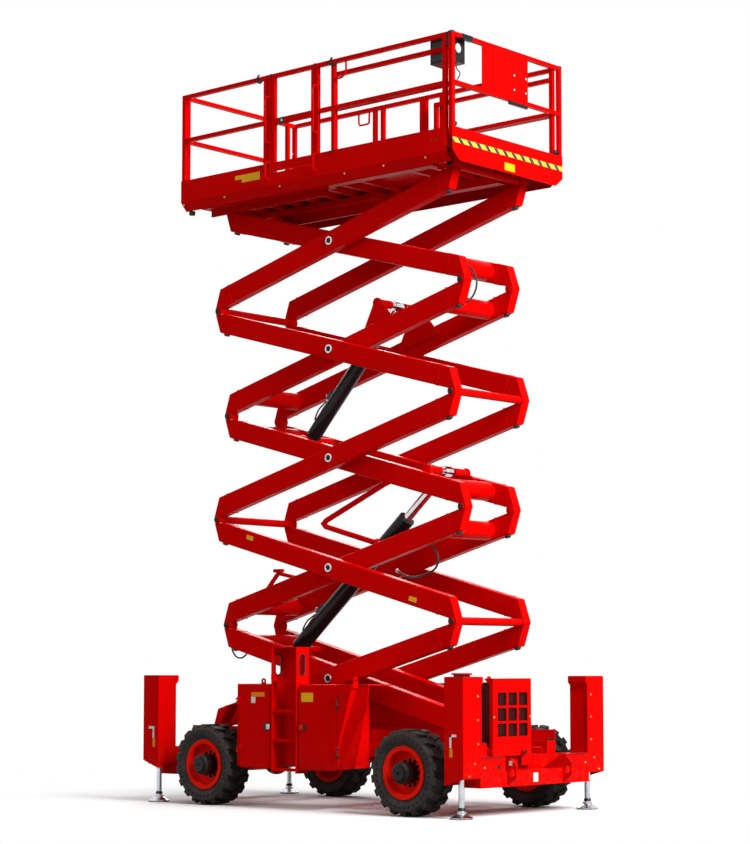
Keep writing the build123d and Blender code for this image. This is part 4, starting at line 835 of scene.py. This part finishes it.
def floor():
    """Pale floor that keeps the shadow near the machine and is plain white farther out."""
    bm = bmesh.new()
    bmesh.ops.create_grid(bm, x_segments=2, y_segments=2, size=150)
    mesh = bpy.data.meshes.new("studio_floor")
    bm.to_mesh(mesh)
    bm.free()
    made = bpy.data.objects.new("studio_floor", mesh)
    bpy.context.scene.collection.objects.link(made)
    made.location.z = -0.002
    s = Shader("floor_white")
    s.set(Roughness=0.9, Specular_IOR_Level=0.0)
    path = s.node("ShaderNodeLightPath")
    shade = s.blend(path.outputs["Is Camera Ray"], FLOOR_GREY, (1.0, 1.0, 1.0))
    s.link(shade, s.bsdf.inputs["Base Color"])
    flat = s.node("ShaderNodeVectorMath", operation="LENGTH")
    s.link(s.place(), flat.inputs[0])
    far = s.remap(flat.outputs["Value"], *FLOOR_FADE, 0.0, 1.0)
    glow = s.node("ShaderNodeEmission", Strength=1.0)
    direct = s.maths("MAXIMUM", path.outputs["Is Camera Ray"], path.outputs["Is Glossy Ray"])
    direct = s.maths("MAXIMUM", direct, path.outputs["Is Transmission Ray"])
    mix = s.node("ShaderNodeMixShader")
    s.link(s.maths("MULTIPLY", far, direct), mix.inputs["Fac"])
    s.link(s.bsdf.outputs[0], mix.inputs[1])
    s.link(glow.outputs[0], mix.inputs[2])
    s.link(mix.outputs[0], s.out.inputs["Surface"])
    made.data.materials.append(s.material)


def area_light(name, place, target, size, power, colour=(1, 1, 1)):
    data = bpy.data.lights.new(name, "AREA")
    data.shape = "RECTANGLE"
    data.size, data.size_y = size
    data.energy = power
    data.color = colour
    made = bpy.data.objects.new(name, data)
    bpy.context.scene.collection.objects.link(made)
    made.location = place
    made.rotation_euler = (Vector(target) - Vector(place)).to_track_quat("-Z", "Y").to_euler()
    return made


def studio():
    """Three soft lamps, and a world that looks white but lights the object dimly."""
    world = bpy.data.worlds.new("studio")
    bpy.context.scene.world = world
    world.use_nodes = True
    tree = world.node_tree
    for old in list(tree.nodes):
        tree.nodes.remove(old)
    out = tree.nodes.new("ShaderNodeOutputWorld")
    coords = tree.nodes.new("ShaderNodeTexCoord")
    split = tree.nodes.new("ShaderNodeSeparateXYZ")
    tree.links.new(coords.outputs["Generated"], split.inputs[0])
    ramp = tree.nodes.new("ShaderNodeValToRGB")
    ramp.color_ramp.elements[0].position = 0.0
    ramp.color_ramp.elements[0].color = (0.05, 0.05, 0.05, 1)
    ramp.color_ramp.elements[1].position = 0.75
    ramp.color_ramp.elements[1].color = (1, 1, 1, 1)
    tree.links.new(split.outputs["Z"], ramp.inputs["Fac"])
    dim = tree.nodes.new("ShaderNodeBackground")
    dim.inputs["Strength"].default_value = 0.42
    tree.links.new(ramp.outputs["Color"], dim.inputs["Color"])
    white = tree.nodes.new("ShaderNodeBackground")
    white.inputs["Color"].default_value = (1, 1, 1, 1)
    seen = tree.nodes.new("ShaderNodeLightPath")
    mix = tree.nodes.new("ShaderNodeMixShader")
    either = tree.nodes.new("ShaderNodeMath")
    either.operation = "MAXIMUM"
    tree.links.new(seen.outputs["Is Camera Ray"], either.inputs[0])
    tree.links.new(seen.outputs["Is Transmission Ray"], either.inputs[1])
    glossy = tree.nodes.new("ShaderNodeMath")
    glossy.operation = "MAXIMUM"
    tree.links.new(either.outputs[0], glossy.inputs[0])
    tree.links.new(seen.outputs["Is Glossy Ray"], glossy.inputs[1])
    tree.links.new(glossy.outputs[0], mix.inputs["Fac"])
    tree.links.new(dim.outputs[0], mix.inputs[1])
    tree.links.new(white.outputs[0], mix.inputs[2])
    tree.links.new(mix.outputs[0], out.inputs["Surface"])
    area_light("key", (17, -2, 12), (0, 0, 3.5), (9, 9), 5600)
    area_light("side_fill", (-3, -17, 8), (0, 0, 3.5), (10, 8), 430)
    area_light("back_rim", (-12, 12, 12), (0, 0, 4), (8, 8), 1100)
    view = bpy.context.scene.view_settings
    view.view_transform = "Standard"


camera()
floor()
studio()
paint_nodes()
stripe()
arm_trim()
wheel_trim()
cabinet_trim()
cylinder_trim()
outrigger_trim()
front_trim()
platform_trim()
hoses()
